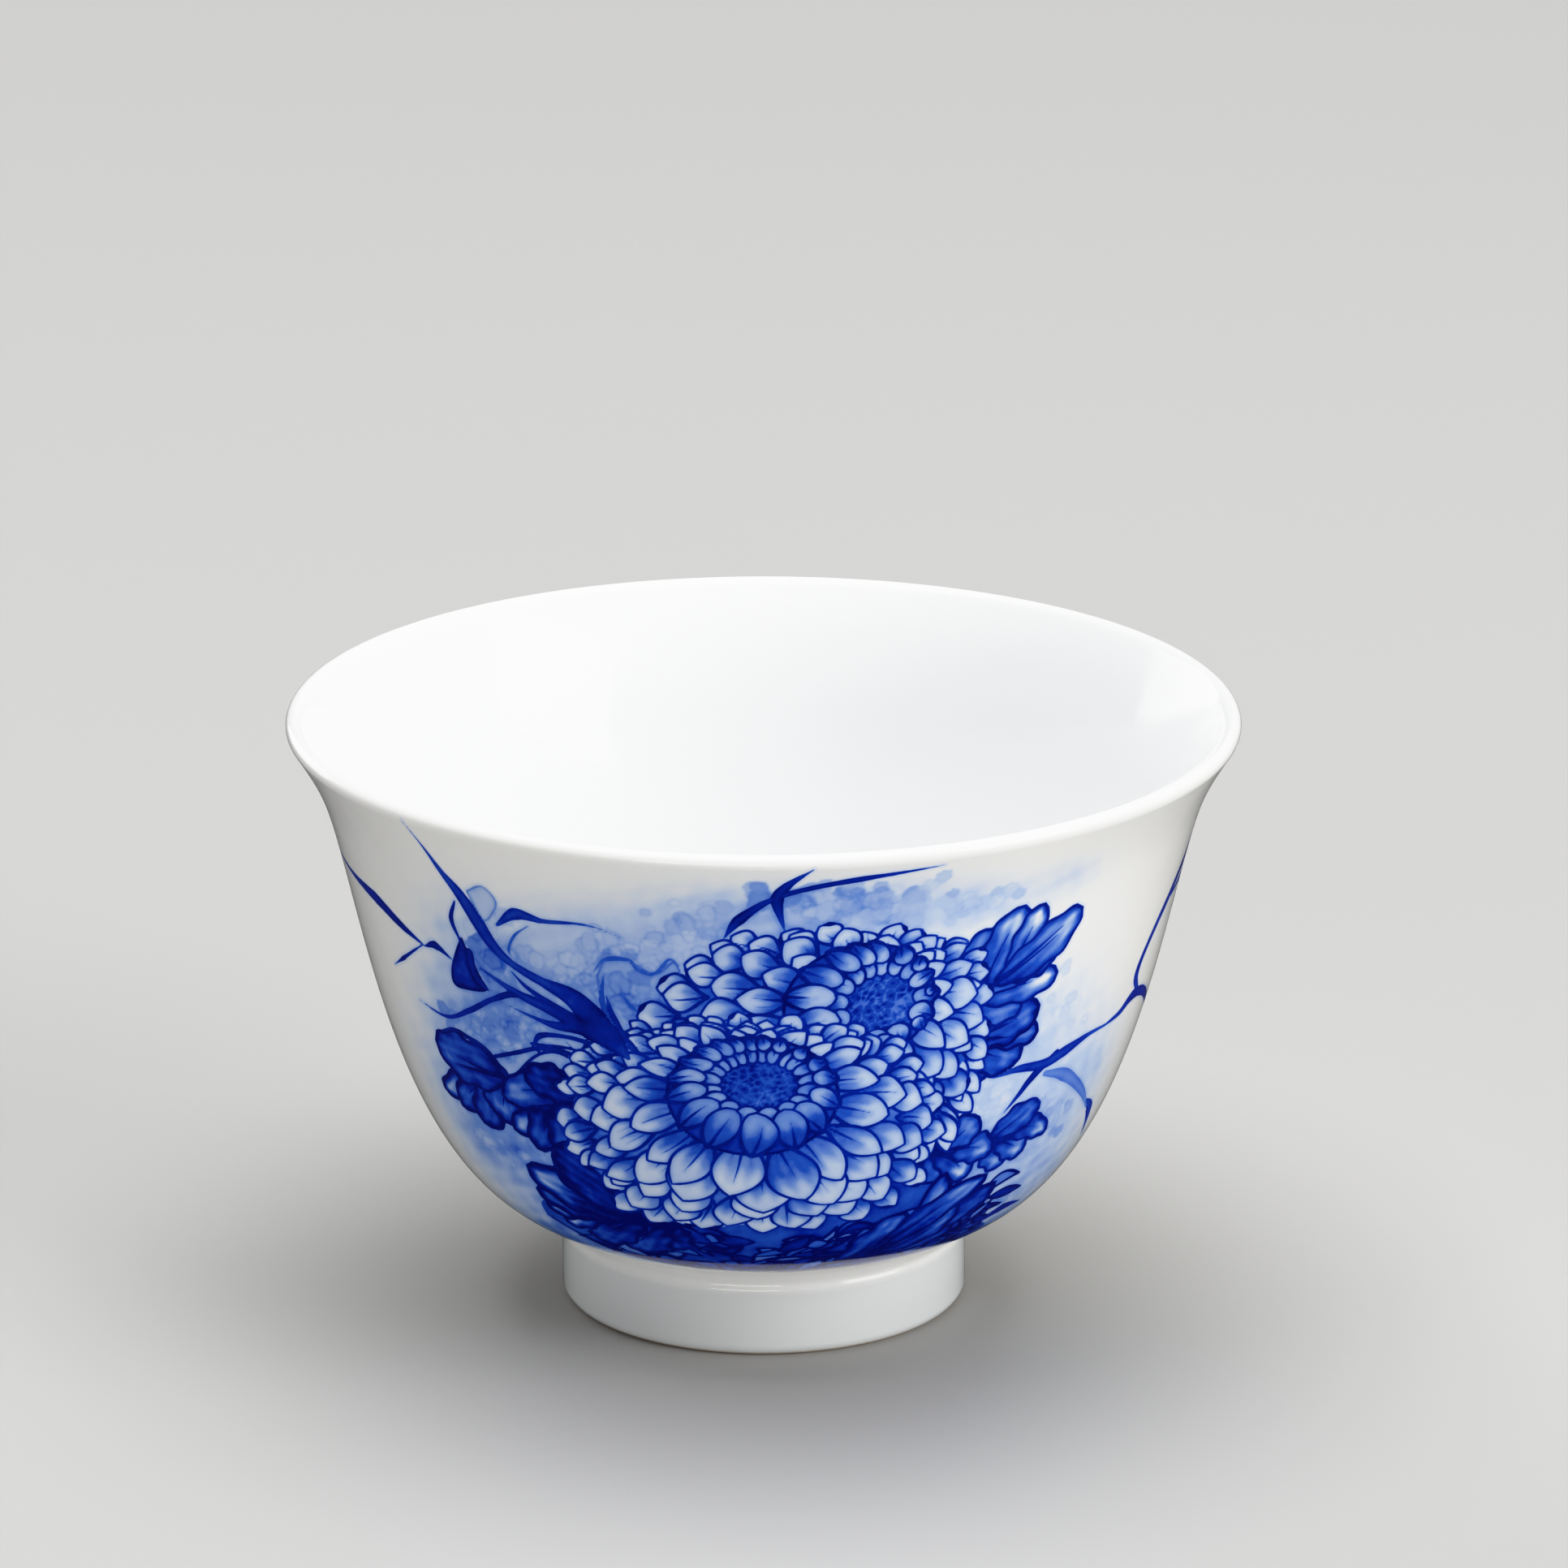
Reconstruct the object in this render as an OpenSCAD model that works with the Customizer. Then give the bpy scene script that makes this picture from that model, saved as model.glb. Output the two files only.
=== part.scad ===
// Porcelain tea cup with an everted lip, a painted band under its glaze and a turned foot.
// Every piece is a body of revolution about Z. The cup stands on z = 0.

/* [Cup] */
// Outer diameter of the lip
rim_d = 84; // [80:1:92]
// Height of the cup from the table to the top of the lip
cup_h = 54; // [50:1:60]
// Radius of the rounded edge of the lip
lip_r = 0.8; // [0.7:0.1:1.2]
// Lean of the lip away from upright, in degrees
lip_lean = 34; // [28:1:40]

/* [Wall] */
// Outer diameter at the neck, where the lip turns into the wall
neck_d = 77.5; // [77:0.5:78.5]
// Drop of the neck below the top of the lip
neck_drop = 7.1; // [6.6:0.1:7.6]
// Lean of the wall at the neck, in degrees
neck_lean = 19.5; // [18:0.5:21]
// Fullness of the wall below the neck
shoulder_pull = 9.6; // [8:0.1:11]
// Fullness of the wall above the foot
belly_pull = 14; // [13.5:0.5:15.5]
// Rise of the belly where it leaves the foot, in degrees
belly_rise = 14; // [12:1:16]

/* [Hollow] */
// Diameter of the hollow at its neck
hollow_neck_d = 71.2; // [70:0.2:72]
// Drop of the hollow's neck below the top of the lip
hollow_neck_drop = 10.5; // [10:0.1:11]
// Lean of the hollow's wall at its neck, in degrees
hollow_neck_lean = 16.5; // [15:0.5:18]
// Fullness of the hollow below its neck
hollow_pull = 29.5; // [28:0.5:30]
// Reach of the flat of the hollow's floor
floor_reach = 29; // [27:0.5:30]
// Height of the floor above the table, at the middle
floor_z = 10.4; // [10.2:0.1:11.4]

/* [Foot] */
// Outer diameter of the foot
foot_d = 36; // [34:1:38]
// Height at which the belly would meet the foot without its fillet
foot_h = 8.2; // [7.8:0.1:8.6]
// Radius of the fillet between belly and foot
foot_fillet_r = 2; // [1.5:0.1:2.2]
// Thickness of the foot ring
ring_t = 3; // [2.4:0.1:3.6]
// Radius of the outer lower edge of the foot
foot_edge_r = 1; // [0.8:0.1:1.2]
// Radius of the inner lower edge of the foot
ring_edge_r = 0.7; // [0.6:0.1:0.8]
// Radius at the top of the recess under the cup
recess_r = 1.2; // [0.8:0.1:1.4]
// Angle of the foot's lower edges that the glaze covers, in degrees
glaze_stop = 40; // [20:5:60]

/* [Coats] */
// Thickness of the glaze
glaze_t = 0.3; // [0.2:0.05:0.4]
// Thickness of the painting under the glaze
paint_t = 0.1; // [0.05:0.05:0.15]

/* [Hidden] */
$fn = 180;

// Steps along each stretch of the outline
lip_steps = 8;
neck_steps = 8;
belly_steps = 30;
fillet_steps = 6;
hollow_steps = 30;
edge_steps = 4;

// A curve leaves and meets the lip with handles this share of its chord
lip_share = 0.33;
// Handle of the hollow's curve at the lip and at its neck
hollow_lip_pull = 4;

rim_r = rim_d / 2;
foot_r = foot_d / 2;
bore_r = foot_r - ring_t;
lip_centre = [rim_r - lip_r, cup_h - lip_r];
neck = [neck_d / 2, cup_h - neck_drop];
hollow_neck = [hollow_neck_d / 2, cup_h - hollow_neck_drop];

// The fillet turns through all but belly_rise of a right angle
fillet_reach = foot_fillet_r / tan((90 + belly_rise) / 2);
belly_end = [foot_r, foot_h] + fillet_reach * [cos(belly_rise), sin(belly_rise)];
joint_z = foot_h - fillet_reach;

// Curves. A station is [point, unit normal out of the surface].
function ray(a) = [cos(a), sin(a)];
function left_of(v) = [-v[1], v[0]] / norm(v);
function falling(lean) = [-sin(lean), -cos(lean)];
function bezier(h, t) =
    pow(1 - t, 3) * h[0] + 3 * pow(1 - t, 2) * t * h[1] + 3 * (1 - t) * t * t * h[2] + pow(t, 3) * h[3];
function bezier_run(h, t) =
    pow(1 - t, 2) * (h[1] - h[0]) + 2 * (1 - t) * t * (h[2] - h[1]) + t * t * (h[3] - h[2]);

// Stations along a cubic curve with handles h. side is 1 for a normal on the left of the run, -1 for the right.
function curve(h, steps, side) =
    [for (i = [0:steps]) [bezier(h, i / steps), side * left_of(bezier_run(h, i / steps))]];

// Stations along an arc. side is 1 where the surface is rounded out, -1 where it is hollow.
function arc(centre, r, from, to, steps, side) =
    [for (i = [0:steps]) let(a = from + (to - from) * i / steps) [centre + r * ray(a), side * ray(a)]];

// The line at a depth under a run of stations
function under(run, depth) = [for (s = run) s[0] - depth * s[1]];
function backward(list) = [for (i = [len(list) - 1:-1:0]) list[i]];
function rest(list) = [for (i = [1:len(list) - 1]) list[i]];

lip_end = lip_centre + lip_r * ray(-lip_lean);
lip_chord = lip_share * norm(neck - lip_end);
lip_outside = concat(
    arc(lip_centre, lip_r, 90, 0, lip_steps, 1),
    rest(arc(lip_centre, lip_r, 0, -lip_lean, edge_steps, 1))
);
neck_curve = curve([
    lip_end,
    lip_end + lip_chord * falling(lip_lean),
    neck - lip_chord * falling(neck_lean),
    neck
], neck_steps, 1);
belly_curve = curve([
    neck,
    neck + shoulder_pull * falling(neck_lean),
    belly_end + belly_pull * ray(belly_rise),
    belly_end
], belly_steps, 1);
fillet_centre = [foot_r + foot_fillet_r, joint_z];
fillet_curve = arc(fillet_centre, foot_fillet_r, 90 + belly_rise, 180, fillet_steps, -1);

hollow_start = lip_centre + lip_r * ray(180 - lip_lean);
lip_inside = arc(lip_centre, lip_r, 90, 180 - lip_lean, lip_steps, 1);
hollow_lip_curve = curve([
    hollow_start,
    hollow_start + hollow_lip_pull * falling(lip_lean),
    hollow_neck - hollow_lip_pull * falling(hollow_neck_lean),
    hollow_neck
], neck_steps, -1);
hollow_curve = curve([
    hollow_neck,
    hollow_neck + hollow_pull * falling(hollow_neck_lean),
    [floor_reach, floor_z],
    [0, floor_z]
], hollow_steps, -1);

// The painted band runs from under the lip to the foot's fillet
painted_band = concat(neck_curve, rest(belly_curve));
outside = concat(lip_outside, rest(painted_band), rest(fillet_curve));
inside = concat(lip_inside, rest(hollow_lip_curve), rest(hollow_curve));

// The foot, outside and inside. The glaze stops part of the way round its lower edges.
foot_edge_centre = [foot_r - foot_edge_r, foot_edge_r];
ring_edge_centre = [bore_r + ring_edge_r, ring_edge_r];
ceiling_z = joint_z + recess_r;
recess_centre = [bore_r - recess_r, joint_z];
foot_wall = concat(
    [[[foot_r, joint_z], [1, 0]]],
    arc(foot_edge_centre, foot_edge_r, 0, -glaze_stop, edge_steps, 1)
);
bare_edge = concat(
    arc(foot_edge_centre, foot_edge_r, -glaze_stop, -90, edge_steps, 1),
    arc(ring_edge_centre, ring_edge_r, -90, glaze_stop - 180, edge_steps, 1)
);
ring_wall = concat(
    arc(ring_edge_centre, ring_edge_r, glaze_stop - 180, -180, edge_steps, 1),
    [[[bore_r, joint_z], [-1, 0]]]
);
recess_curve = arc(recess_centre, recess_r, 0, 90, fillet_steps, -1);
recess = concat(ring_wall, rest(recess_curve), [[[0, ceiling_z], [0, -1]]]);

// A coat between two depths under the same run of stations
module coat(run, top, bottom) {
    rotate_extrude() polygon(concat(under(run, top), backward(under(run, bottom))));
}

module bowl() {
    color("whitesmoke") rotate_extrude() polygon(concat(
        under(outside, glaze_t),
        [[bore_r + glaze_t, joint_z]],
        rest(under(recess_curve, glaze_t)),
        [[0, ceiling_z + glaze_t]],
        backward(rest(under(inside, glaze_t)))
    ));
}

module foot_ring() {
    color("linen") rotate_extrude() polygon(concat(
        under(foot_wall, glaze_t),
        under(bare_edge, 0),
        under(ring_wall, glaze_t)
    ));
}

module cobalt_painting() {
    color("royalblue") coat(painted_band, glaze_t - paint_t, glaze_t);
}

// The outer glaze is thinner by the painting's thickness where it covers the painted band
module outer_glaze() {
    color("aliceblue") rotate_extrude() polygon(concat(
        under(outside, 0),
        backward(under(fillet_curve, glaze_t)),
        backward(under(painted_band, glaze_t - paint_t)),
        backward(under(lip_outside, glaze_t))
    ));
}

module inner_glaze() {
    color("white") coat(inside, 0, glaze_t);
}

module foot_glaze() {
    color("ghostwhite") coat(foot_wall, 0, glaze_t);
}

module base_glaze() {
    color("mintcream") coat(recess, 0, glaze_t);
}

bowl();
foot_ring();
cobalt_painting();
outer_glaze();
inner_glaze();
foot_glaze();
base_glaze();
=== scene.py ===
"""A porcelain tea cup, painted in cobalt blue under a clear glaze, on a plain pale floor.

Lengths on the wall are in millimetres while it is painted. A place on the wall is a turn round
the cup, 0 at its front and growing to its right, and a climb, the way up the wall from the
place where the belly meets the foot's fillet.
"""

import math

import bpy
import numpy as np
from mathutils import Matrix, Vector


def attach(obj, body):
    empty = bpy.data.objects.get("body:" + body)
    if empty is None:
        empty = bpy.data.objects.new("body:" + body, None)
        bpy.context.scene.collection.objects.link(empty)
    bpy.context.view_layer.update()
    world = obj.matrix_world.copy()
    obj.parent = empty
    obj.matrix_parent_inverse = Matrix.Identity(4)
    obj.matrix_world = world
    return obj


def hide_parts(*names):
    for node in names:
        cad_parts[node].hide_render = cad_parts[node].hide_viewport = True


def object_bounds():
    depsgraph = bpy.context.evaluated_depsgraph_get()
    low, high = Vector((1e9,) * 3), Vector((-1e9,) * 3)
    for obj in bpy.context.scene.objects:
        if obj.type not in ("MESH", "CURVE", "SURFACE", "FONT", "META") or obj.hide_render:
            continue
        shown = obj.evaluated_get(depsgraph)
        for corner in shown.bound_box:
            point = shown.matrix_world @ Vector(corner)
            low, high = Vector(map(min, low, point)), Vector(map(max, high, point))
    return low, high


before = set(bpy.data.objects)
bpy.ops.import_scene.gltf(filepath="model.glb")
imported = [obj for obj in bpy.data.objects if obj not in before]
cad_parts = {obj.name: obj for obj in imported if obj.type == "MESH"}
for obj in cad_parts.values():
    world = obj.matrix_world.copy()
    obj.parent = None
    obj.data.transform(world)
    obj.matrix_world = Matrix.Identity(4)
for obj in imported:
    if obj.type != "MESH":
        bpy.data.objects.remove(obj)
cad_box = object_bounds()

bl_info = {
    "name": "Painted Tea Cup",
    "version": (1, 0, 0),
    "blender": (4, 5, 0),
    "location": "View3D > Sidebar > Tea Cup",
    "description": "Builds a porcelain tea cup with a flower spray under its glaze",
    "category": "Add Mesh",
}

MM = 0.001


# ---------------------------------------------------------------- the brush

FAR = 3.0          # mm, past which the distance to ink no longer matters
TINY = 1e-12       # keeps a division by a run of no length finite
RIM = 0.5          # mm left round a stroke, where its ink may still be the nearest


def spline(points, steps=8):
    """Catmull-Rom curve: through every point, with each run's slope that of its neighbours' chord."""
    p = np.asarray(points, float)
    p = np.vstack([2 * p[0] - p[1], p, 2 * p[-1] - p[-2]])
    t = np.linspace(0, 1, steps, endpoint=False)[:, None, None]
    a, b, c, d = p[:-3], p[1:-2], p[2:-1], p[3:]
    runs = 0.5 * (2 * b + (c - a) * t + (2 * a - 5 * b + 4 * c - d) * t ** 2
                  + (3 * b - a - 3 * c + d) * t ** 3)
    return np.vstack([runs.transpose(1, 0, 2).reshape(-1, p.shape[1]), p[-2]])


def distances(x, y, path, closed):
    """Least distance from each place to the runs of a path, where along it from 0 to 1, and
    for a closed path whether the place is inside, by the even-odd rule."""
    a = path
    b = np.roll(path, -1, 0)
    if not closed:
        a, b = a[:-1], b[:-1]
    run = b - a
    size = (run ** 2).sum(1) + TINY
    ox, oy = x[..., None] - a[:, 0], y[..., None] - a[:, 1]
    share = np.clip((ox * run[:, 0] + oy * run[:, 1]) / size, 0, 1)
    gap = np.hypot(ox - share * run[:, 0], oy - share * run[:, 1])
    near = gap.argmin(-1)
    pick = near[..., None]
    least = np.take_along_axis(gap, pick, -1)[..., 0]
    along = (near + np.take_along_axis(share, pick, -1)[..., 0]) / len(a)
    if not closed:
        return least, along, None
    rise = np.where(run[:, 1] == 0, TINY, run[:, 1])
    crosses = (a[:, 1] > y[..., None]) != (b[:, 1] > y[..., None])
    crosses &= ox < run[:, 0] * oy / rise
    return least, along, crosses.sum(-1) % 2 == 1


def smooth(low, high, value):
    """A smooth step, 3 t^2 - 2 t^3, as the value goes from low to high. High may be the less."""
    t = np.clip((value - low) / (high - low), 0, 1)
    return t * t * (3 - 2 * t)


class Canvas:
    """The wall rolled out flat, turn across and climb up, with what the brush has laid on it.
    line is the distance in mm to the edge of the nearest ink, below 0 inside it, tone is that
    ink's strength, and wash is the strength of the washes."""

    def __init__(self, turn, climb, radius, seed):
        self.turn, self.climb, self.radius = turn, climb, radius
        shape = (len(climb), len(turn))
        self.line = np.full(shape, FAR)
        self.tone = np.full(shape, 0.9)
        self.wash = np.zeros(shape)
        self.dice = np.random.default_rng(seed)

    def around(self, climb):
        """The wall's radius at a climb, and so the mm of a radian of turn there."""
        return np.interp(climb, self.climb, self.radius)

    def place(self, degrees, climb):
        """Places on the wall from their turns in degrees and their climbs."""
        return np.column_stack([np.radians(np.asarray(degrees, float)), np.asarray(climb, float)])

    def offset(self, home, xy):
        """Places, in radians and mm, that are xy mm across and up from home."""
        xy = np.atleast_2d(xy)
        climb = home[1] + xy[:, 1]
        return np.column_stack([home[0] + xy[:, 0] / self.around(climb), climb])

    def flat(self, home, places):
        """The mm across and up from home to each of some places."""
        return np.column_stack([(places[:, 0] - home[0]) * self.around(places[:, 1]),
                                places[:, 1] - home[1]])

    def way(self, home, degrees, climb, level=None):
        """The mm across and up from home to one place, on a wall as wide everywhere as it is
        at level, or else halfway between the two."""
        level = (climb + home[1]) / 2 if level is None else level
        return np.array([(math.radians(degrees) - home[0]) * self.around(level), climb - home[1]])

    def window(self, path, margin):
        """The part of the canvas within margin of a path, and flat places in mm on it."""
        home = path.mean(0)
        low, high = path.min(0), path.max(0)
        rows = slice(*np.searchsorted(self.climb, [low[1] - margin, high[1] + margin]))
        part = self.radius[rows]
        if part.size == 0:
            return None
        reach = margin / part.min()
        cols = slice(*np.searchsorted(self.turn, [low[0] - reach, high[0] + reach]))
        x = (self.turn[None, cols] - home[0]) * part[:, None]
        y = np.broadcast_to((self.climb[rows] - home[1])[:, None], x.shape)
        if x.size == 0:
            return None
        return (rows, cols), x, y, self.flat(home, path)

    def ink(self, part, edge, tone):
        """Lays ink of a tone where its edge is nearer than that of the ink already there."""
        self.tone[part] = np.where(edge < self.line[part], tone, self.tone[part])
        self.line[part] = np.minimum(self.line[part], edge)

    def stroke(self, path, widths, tone, fade=0.12):
        """A brush stroke along a path: ink nearer to it than half its width there. Where it is
        thinner than its widest its ink is weaker by up to fade, and it pools at its edges."""
        seen = self.window(path, max(widths) + RIM)
        if seen is None:
            return
        part, x, y, flat = seen
        gap, along, _ = distances(x, y, flat, False)
        half = np.interp(along, np.linspace(0, 1, len(widths)), np.asarray(widths) / 2)
        weak = 1 - fade * (1 - np.sqrt(2 * half / max(widths)))
        pool = 0.93 + 0.07 * np.clip(gap / (half + 1e-6), 0, 1) ** 2
        self.ink(part, gap - half, tone * weak * pool)

    def shape(self, path, fill, line=0.0, tone=0.95, axis=None):
        """A closed shape. Inside it the wash becomes fill, which may be a function of the share
        of the way along axis, the place across it and the depth inside, and older ink is
        covered. Its edge gets a line of the width given."""
        seen = self.window(path, 0.8)
        if seen is None:
            return
        part, x, y, flat = seen
        gap, _, inside = distances(x, y, flat, True)
        edge = np.where(inside, -gap, gap)
        if callable(fill):
            ends = self.flat(path.mean(0), np.array(axis))
            run = ends[1] - ends[0]
            size = math.hypot(*run)
            u = ((x - ends[0][0]) * run[0] + (y - ends[0][1]) * run[1]) / size ** 2
            v = ((y - ends[0][1]) * run[0] - (x - ends[0][0]) * run[1]) / size
            laid = fill(u, v, -edge)
        else:
            laid = fill
        share = smooth(0.08, -0.08, edge)
        self.wash[part] = self.wash[part] * (1 - share) + laid * share
        self.line[part] = np.maximum(self.line[part], np.minimum(-edge, FAR))
        if line > 0:
            self.ink(part, gap - line / 2, tone)

    def dab(self, home, size, strength, rim):
        """A round watery dab that brings what is under it to its own strength, or lifts a
        little of it, with a darker rim where the water dried."""
        wobble = 1 + 0.1 * self.dice.standard_normal(14)
        path = self.offset(home, oval(size, (0, 0), 14) * wobble[:, None])
        seen = self.window(path, 0.6)
        if seen is None:
            return
        part, x, y, flat = seen
        flat = spline(np.vstack([flat, flat[:1]]), 3)[:-1]
        gap, _, inside = distances(x, y, flat, True)
        edge = np.where(inside, -gap, gap)
        share = 0.85 * smooth(0.12, -0.14, edge)
        dried = rim * np.exp(-(gap / 0.15) ** 2)
        under = self.wash[part]
        laid = under + (np.maximum(strength, 0.84 * under) - under) * share
        self.wash[part] = laid + (1 - laid) * dried

    def cloud(self, home, size, strength):
        """A soft wash: a Gaussian hump size across and up, broken by slow ripples."""
        turn, climb = home
        x = (self.turn[None, :] - turn) * self.radius[:, None]
        y = self.climb[:, None] - climb
        reach = (x / size[0]) ** 2 + (y / size[1]) ** 2
        beat = self.dice.uniform(0, 6.28, 4)
        ripple = (np.sin(x * 0.9 + 1.3 * y + beat[0]) + np.sin(1.7 * y - 0.8 * x + beat[1])
                  + np.sin(2.6 * x + beat[2] + 1.1 * np.sin(y)) + np.sin(3.1 * y + beat[3] - x)) / 4
        body = strength * np.exp(-reach) * (1 + 0.45 * ripple)
        self.wash = self.wash + (1 - self.wash) * np.clip(body, 0, 1)


# ---------------------------------------------------------------- the flower spray


def at(degrees, climb):
    """A place on the wall, as radians of turn and mm of climb."""
    return np.array([math.radians(degrees), climb])


def oval(half, centre, count):
    """Points round an ellipse: centre + (half across cos a, half up sin a) for even turns a."""
    a = np.linspace(0, 2 * math.pi, count + 1)[:-1]
    return np.column_stack([centre[0] + half[0] * np.cos(a), centre[1] + half[1] * np.sin(a)])


def petal_edge(base, tip, half, bend, blunt, swell, steps=20):
    """Points round a petal, and along its middle. Its half width is half sin(pi t^swell)^blunt
    for t from 0 at the base to 1 at the tip, and its middle bows by bend of its length."""
    t = np.linspace(0, 1, steps)
    wide = half * np.clip(np.sin(math.pi * t ** swell), 0, 1) ** blunt
    run = tip - base
    side = np.array([-run[1], run[0]]) / math.hypot(*run)
    middle = base + t[:, None] * run + (bend * math.hypot(*run) * 4 * t * (1 - t))[:, None] * side
    return np.vstack([middle + wide[:, None] * side, (middle - wide[:, None] * side)[-2:0:-1]]), middle


# Half the width in mm past which a petal has side veins, and how far veins and blades fade
WIDE_PETAL, VEIN_FADE, BLADE_FADE = 0.7, 0.35, 0.42


def petal(canvas, home, base, tip, half, pale, deep, *, line, bend, blunt, swell, vein,
          fade=0.5, tone=0.86, curl=0.0):
    """A petal: blue at its base, fading to a pale tip, with an outline that thickens to the
    base, a vein part of the way up and, where it curls, a dark touch beside its tip."""
    edge, middle = petal_edge(base, tip, half, bend, blunt, swell)

    def fill(u, v, depth):
        """Deep at the base, pale past where it fades, and a little darker along its edge."""
        body = pale + (deep - pale) * smooth(fade + 0.22, fade - 0.28, u + 0.06 * np.sin(v * 4.0))
        return np.clip(body + 0.10 * np.exp(-depth / 0.25), 0, 1)

    ends = (canvas.offset(home, base)[0], canvas.offset(home, tip)[0])
    canvas.shape(canvas.offset(home, edge), fill, axis=ends)
    canvas.stroke(canvas.offset(home, np.vstack([edge, edge[:1]])),
                  [1.5 * line, 1.05 * line, 0.78 * line, 1.05 * line, 1.5 * line], tone)
    last = max(3, int(len(middle) * vein))
    sway = np.linspace(0, 0.16 * half * canvas.dice.standard_normal(), last)
    canvas.stroke(canvas.offset(home, middle[1:last + 1] + sway[:, None]),
                  [1.2 * line, 0.8 * line, 0.15 * line], tone, VEIN_FADE)
    if half > WIDE_PETAL:
        short = max(3, int(last * canvas.dice.uniform(0.5, 0.85)))
        run = edge[:len(middle)] - middle
        for hand in (-0.42, 0.42):
            canvas.stroke(canvas.offset(home, (middle + hand * run)[2:short + 2]),
                          [0.7 * line, 0.45 * line, 0.05 * line], 0.72 * tone, VEIN_FADE)
    if curl:
        start = len(middle) - (7 if curl > 0 else 1)
        canvas.stroke(canvas.offset(home, edge[start:start + 6]), [0.1, abs(curl), 0.25], tone + 0.08)


def ellipse(half, centre, angle, full=1.0, grow=1.0):
    """A place on an ellipse grown by a factor. With full below 1 its sides are fuller, as the
    powers of the angle's cosine and sine are lowered."""
    across, up = math.cos(angle), math.sin(angle)
    return np.array([centre[0] + grow * half[0] * math.copysign(abs(across) ** full, across),
                     centre[1] + grow * half[1] * math.copysign(abs(up) ** full, up)])


def turns_of(count, start, lean, side):
    """Angles round a ring, wide apart at its foot and close at its head: a + lean cos a + side
    sin a for evenly spaced a, ordered from the head down to the foot."""
    a = (np.arange(count) + start) * 2 * math.pi / count
    return sorted(a + lean * np.cos(a) + side * np.sin(a), key=lambda b: -math.sin(b))


# How full the sides of a bloom's rings are, 1 being an ellipse
FULL = 0.86


def bloom(canvas, home, rings, crown, disc, lean, side, deep, pale, heart):
    """A chrysanthemum. rings gives, from the inside out, each ring of petals as its count, the
    half size and centre of the ellipse that its tips stand on, and the petals' length."""
    dice = canvas.dice
    _, half, centre, _ = rings[-1]
    canvas.shape(canvas.offset(home, oval((half[0] - 1.5, half[1] - 1.5), centre, 59)), 0.5)
    for k in range(len(rings) - 1, -1, -1):
        count, half, centre, reach = rings[k]
        last = k == len(rings) - 1
        for a in turns_of(count, 0.5 * (k % 2), lean, side):
            a += dice.normal(0, 0.025)
            grow = 1 + dice.normal(0, 0.03)
            tip = ellipse(half, centre, a, FULL, grow)
            beside = [ellipse(half, centre, a + d * math.pi / count, FULL) for d in (-1, 1)]
            gap = math.hypot(*(beside[1] - beside[0])) * (1 - lean * math.sin(a) + side * math.cos(a))
            away = tip - ellipse(half, crown[1], a, grow=0.3)
            size = min(reach * (1 - 0.25 * math.sin(a)), math.hypot(*away))
            base = tip - away / math.hypot(*away) * size
            wide = min(0.45 * gap * (1 + dice.normal(0, 0.08)), 0.42 * size)
            light = dice.uniform(0, 1)
            petal(canvas, home, base, tip, wide, pale + 0.06 * light, deep * (0.7 + 0.5 * light),
                  line=0.275 + 0.02 * (k == 0), bend=dice.normal(0, 0.05), blunt=dice.uniform(0.66, 0.95),
                  swell=dice.uniform(1.15, 1.4), fade=dice.uniform(0.45, 0.7), vein=dice.uniform(0.55, 0.8),
                  curl=0.5 * dice.choice([-1, 1]) if last and dice.uniform() < 0.6 else 0.0)
    cup_of_petals(canvas, home, crown, disc, *heart)


def cup_of_petals(canvas, home, crown, disc, count, pale, ground):
    """The heart of a bloom: petals that curl in over the disc, on a dark ground."""
    dice = canvas.dice
    half, centre = crown
    canvas.shape(canvas.offset(home, oval(half, centre, 49)), ground, 0.3, 0.9)
    net(canvas, home, disc)
    rows = ((count + 2, 1.55, 0.82, 0.44, 0.3), (count, 0.0, 1.16, 0.56, 0.42))
    for number, start, stop, spread, lean in rows:
        between = [0.62 * half[i] + 0.38 * disc[0][i] for i in (0, 1)]
        for a in turns_of(number, 0.5, lean, 0.05):
            a += dice.normal(0, 0.03)
            low = -math.sin(a)
            if start:
                base = ellipse(*disc, a, grow=start)
                tip = ellipse(*disc, a, grow=stop)
            else:
                base = ellipse(half, centre, a, grow=1.03)
                tip = ellipse(*disc, a + dice.normal(0, 0.04), grow=stop - 0.12 * low)
            size = math.hypot(*(tip - base))
            if size < 0.7:
                continue
            beside = [ellipse(between, centre, a + d * math.pi / number) for d in (-1, 1)]
            wide = min(spread * math.hypot(*(beside[1] - beside[0])) * (1 + lean * low), 0.5 * size)
            petal(canvas, home, base, tip, wide, pale + dice.uniform(0, 0.1), 0.62, line=0.28,
                  bend=dice.normal(0, 0.04), blunt=0.5, swell=1.15, fade=dice.uniform(0.35, 0.6),
                  vein=0.6, tone=0.9)


def net(canvas, home, disc):
    """The disc: a dark ground with a pale net between cells round scattered seeds. A place is
    on the net where its two nearest seeds are almost equally near."""
    half, centre = disc
    path = canvas.offset(home, oval((half[0] * 1.12, half[1] * 1.12), centre, 39))
    canvas.shape(path, 0.70)
    part, x, y, flat = canvas.window(path, 0.1)
    count = int(half[0] * half[1] * 10)
    seeds = canvas.dice.uniform(-1.15, 1.15, (count, 2)) * half
    gap = np.sort(np.hypot(x[..., None] - seeds[:, 0], (y[..., None] - seeds[:, 1]) * 1.25), -1)
    inside = distances(x, y, flat, True)[2]
    thick = canvas.dice.uniform(0.6, 1.0)
    pale = 0.25 * thick * smooth(0.16, 0.03, gap[..., 1] - gap[..., 0]) * inside
    spot = 0.16 * smooth(0.30, 0.1, gap[..., 0]) * inside
    canvas.wash[part] = np.clip(canvas.wash[part] - pale + spot, 0, 1)


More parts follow.
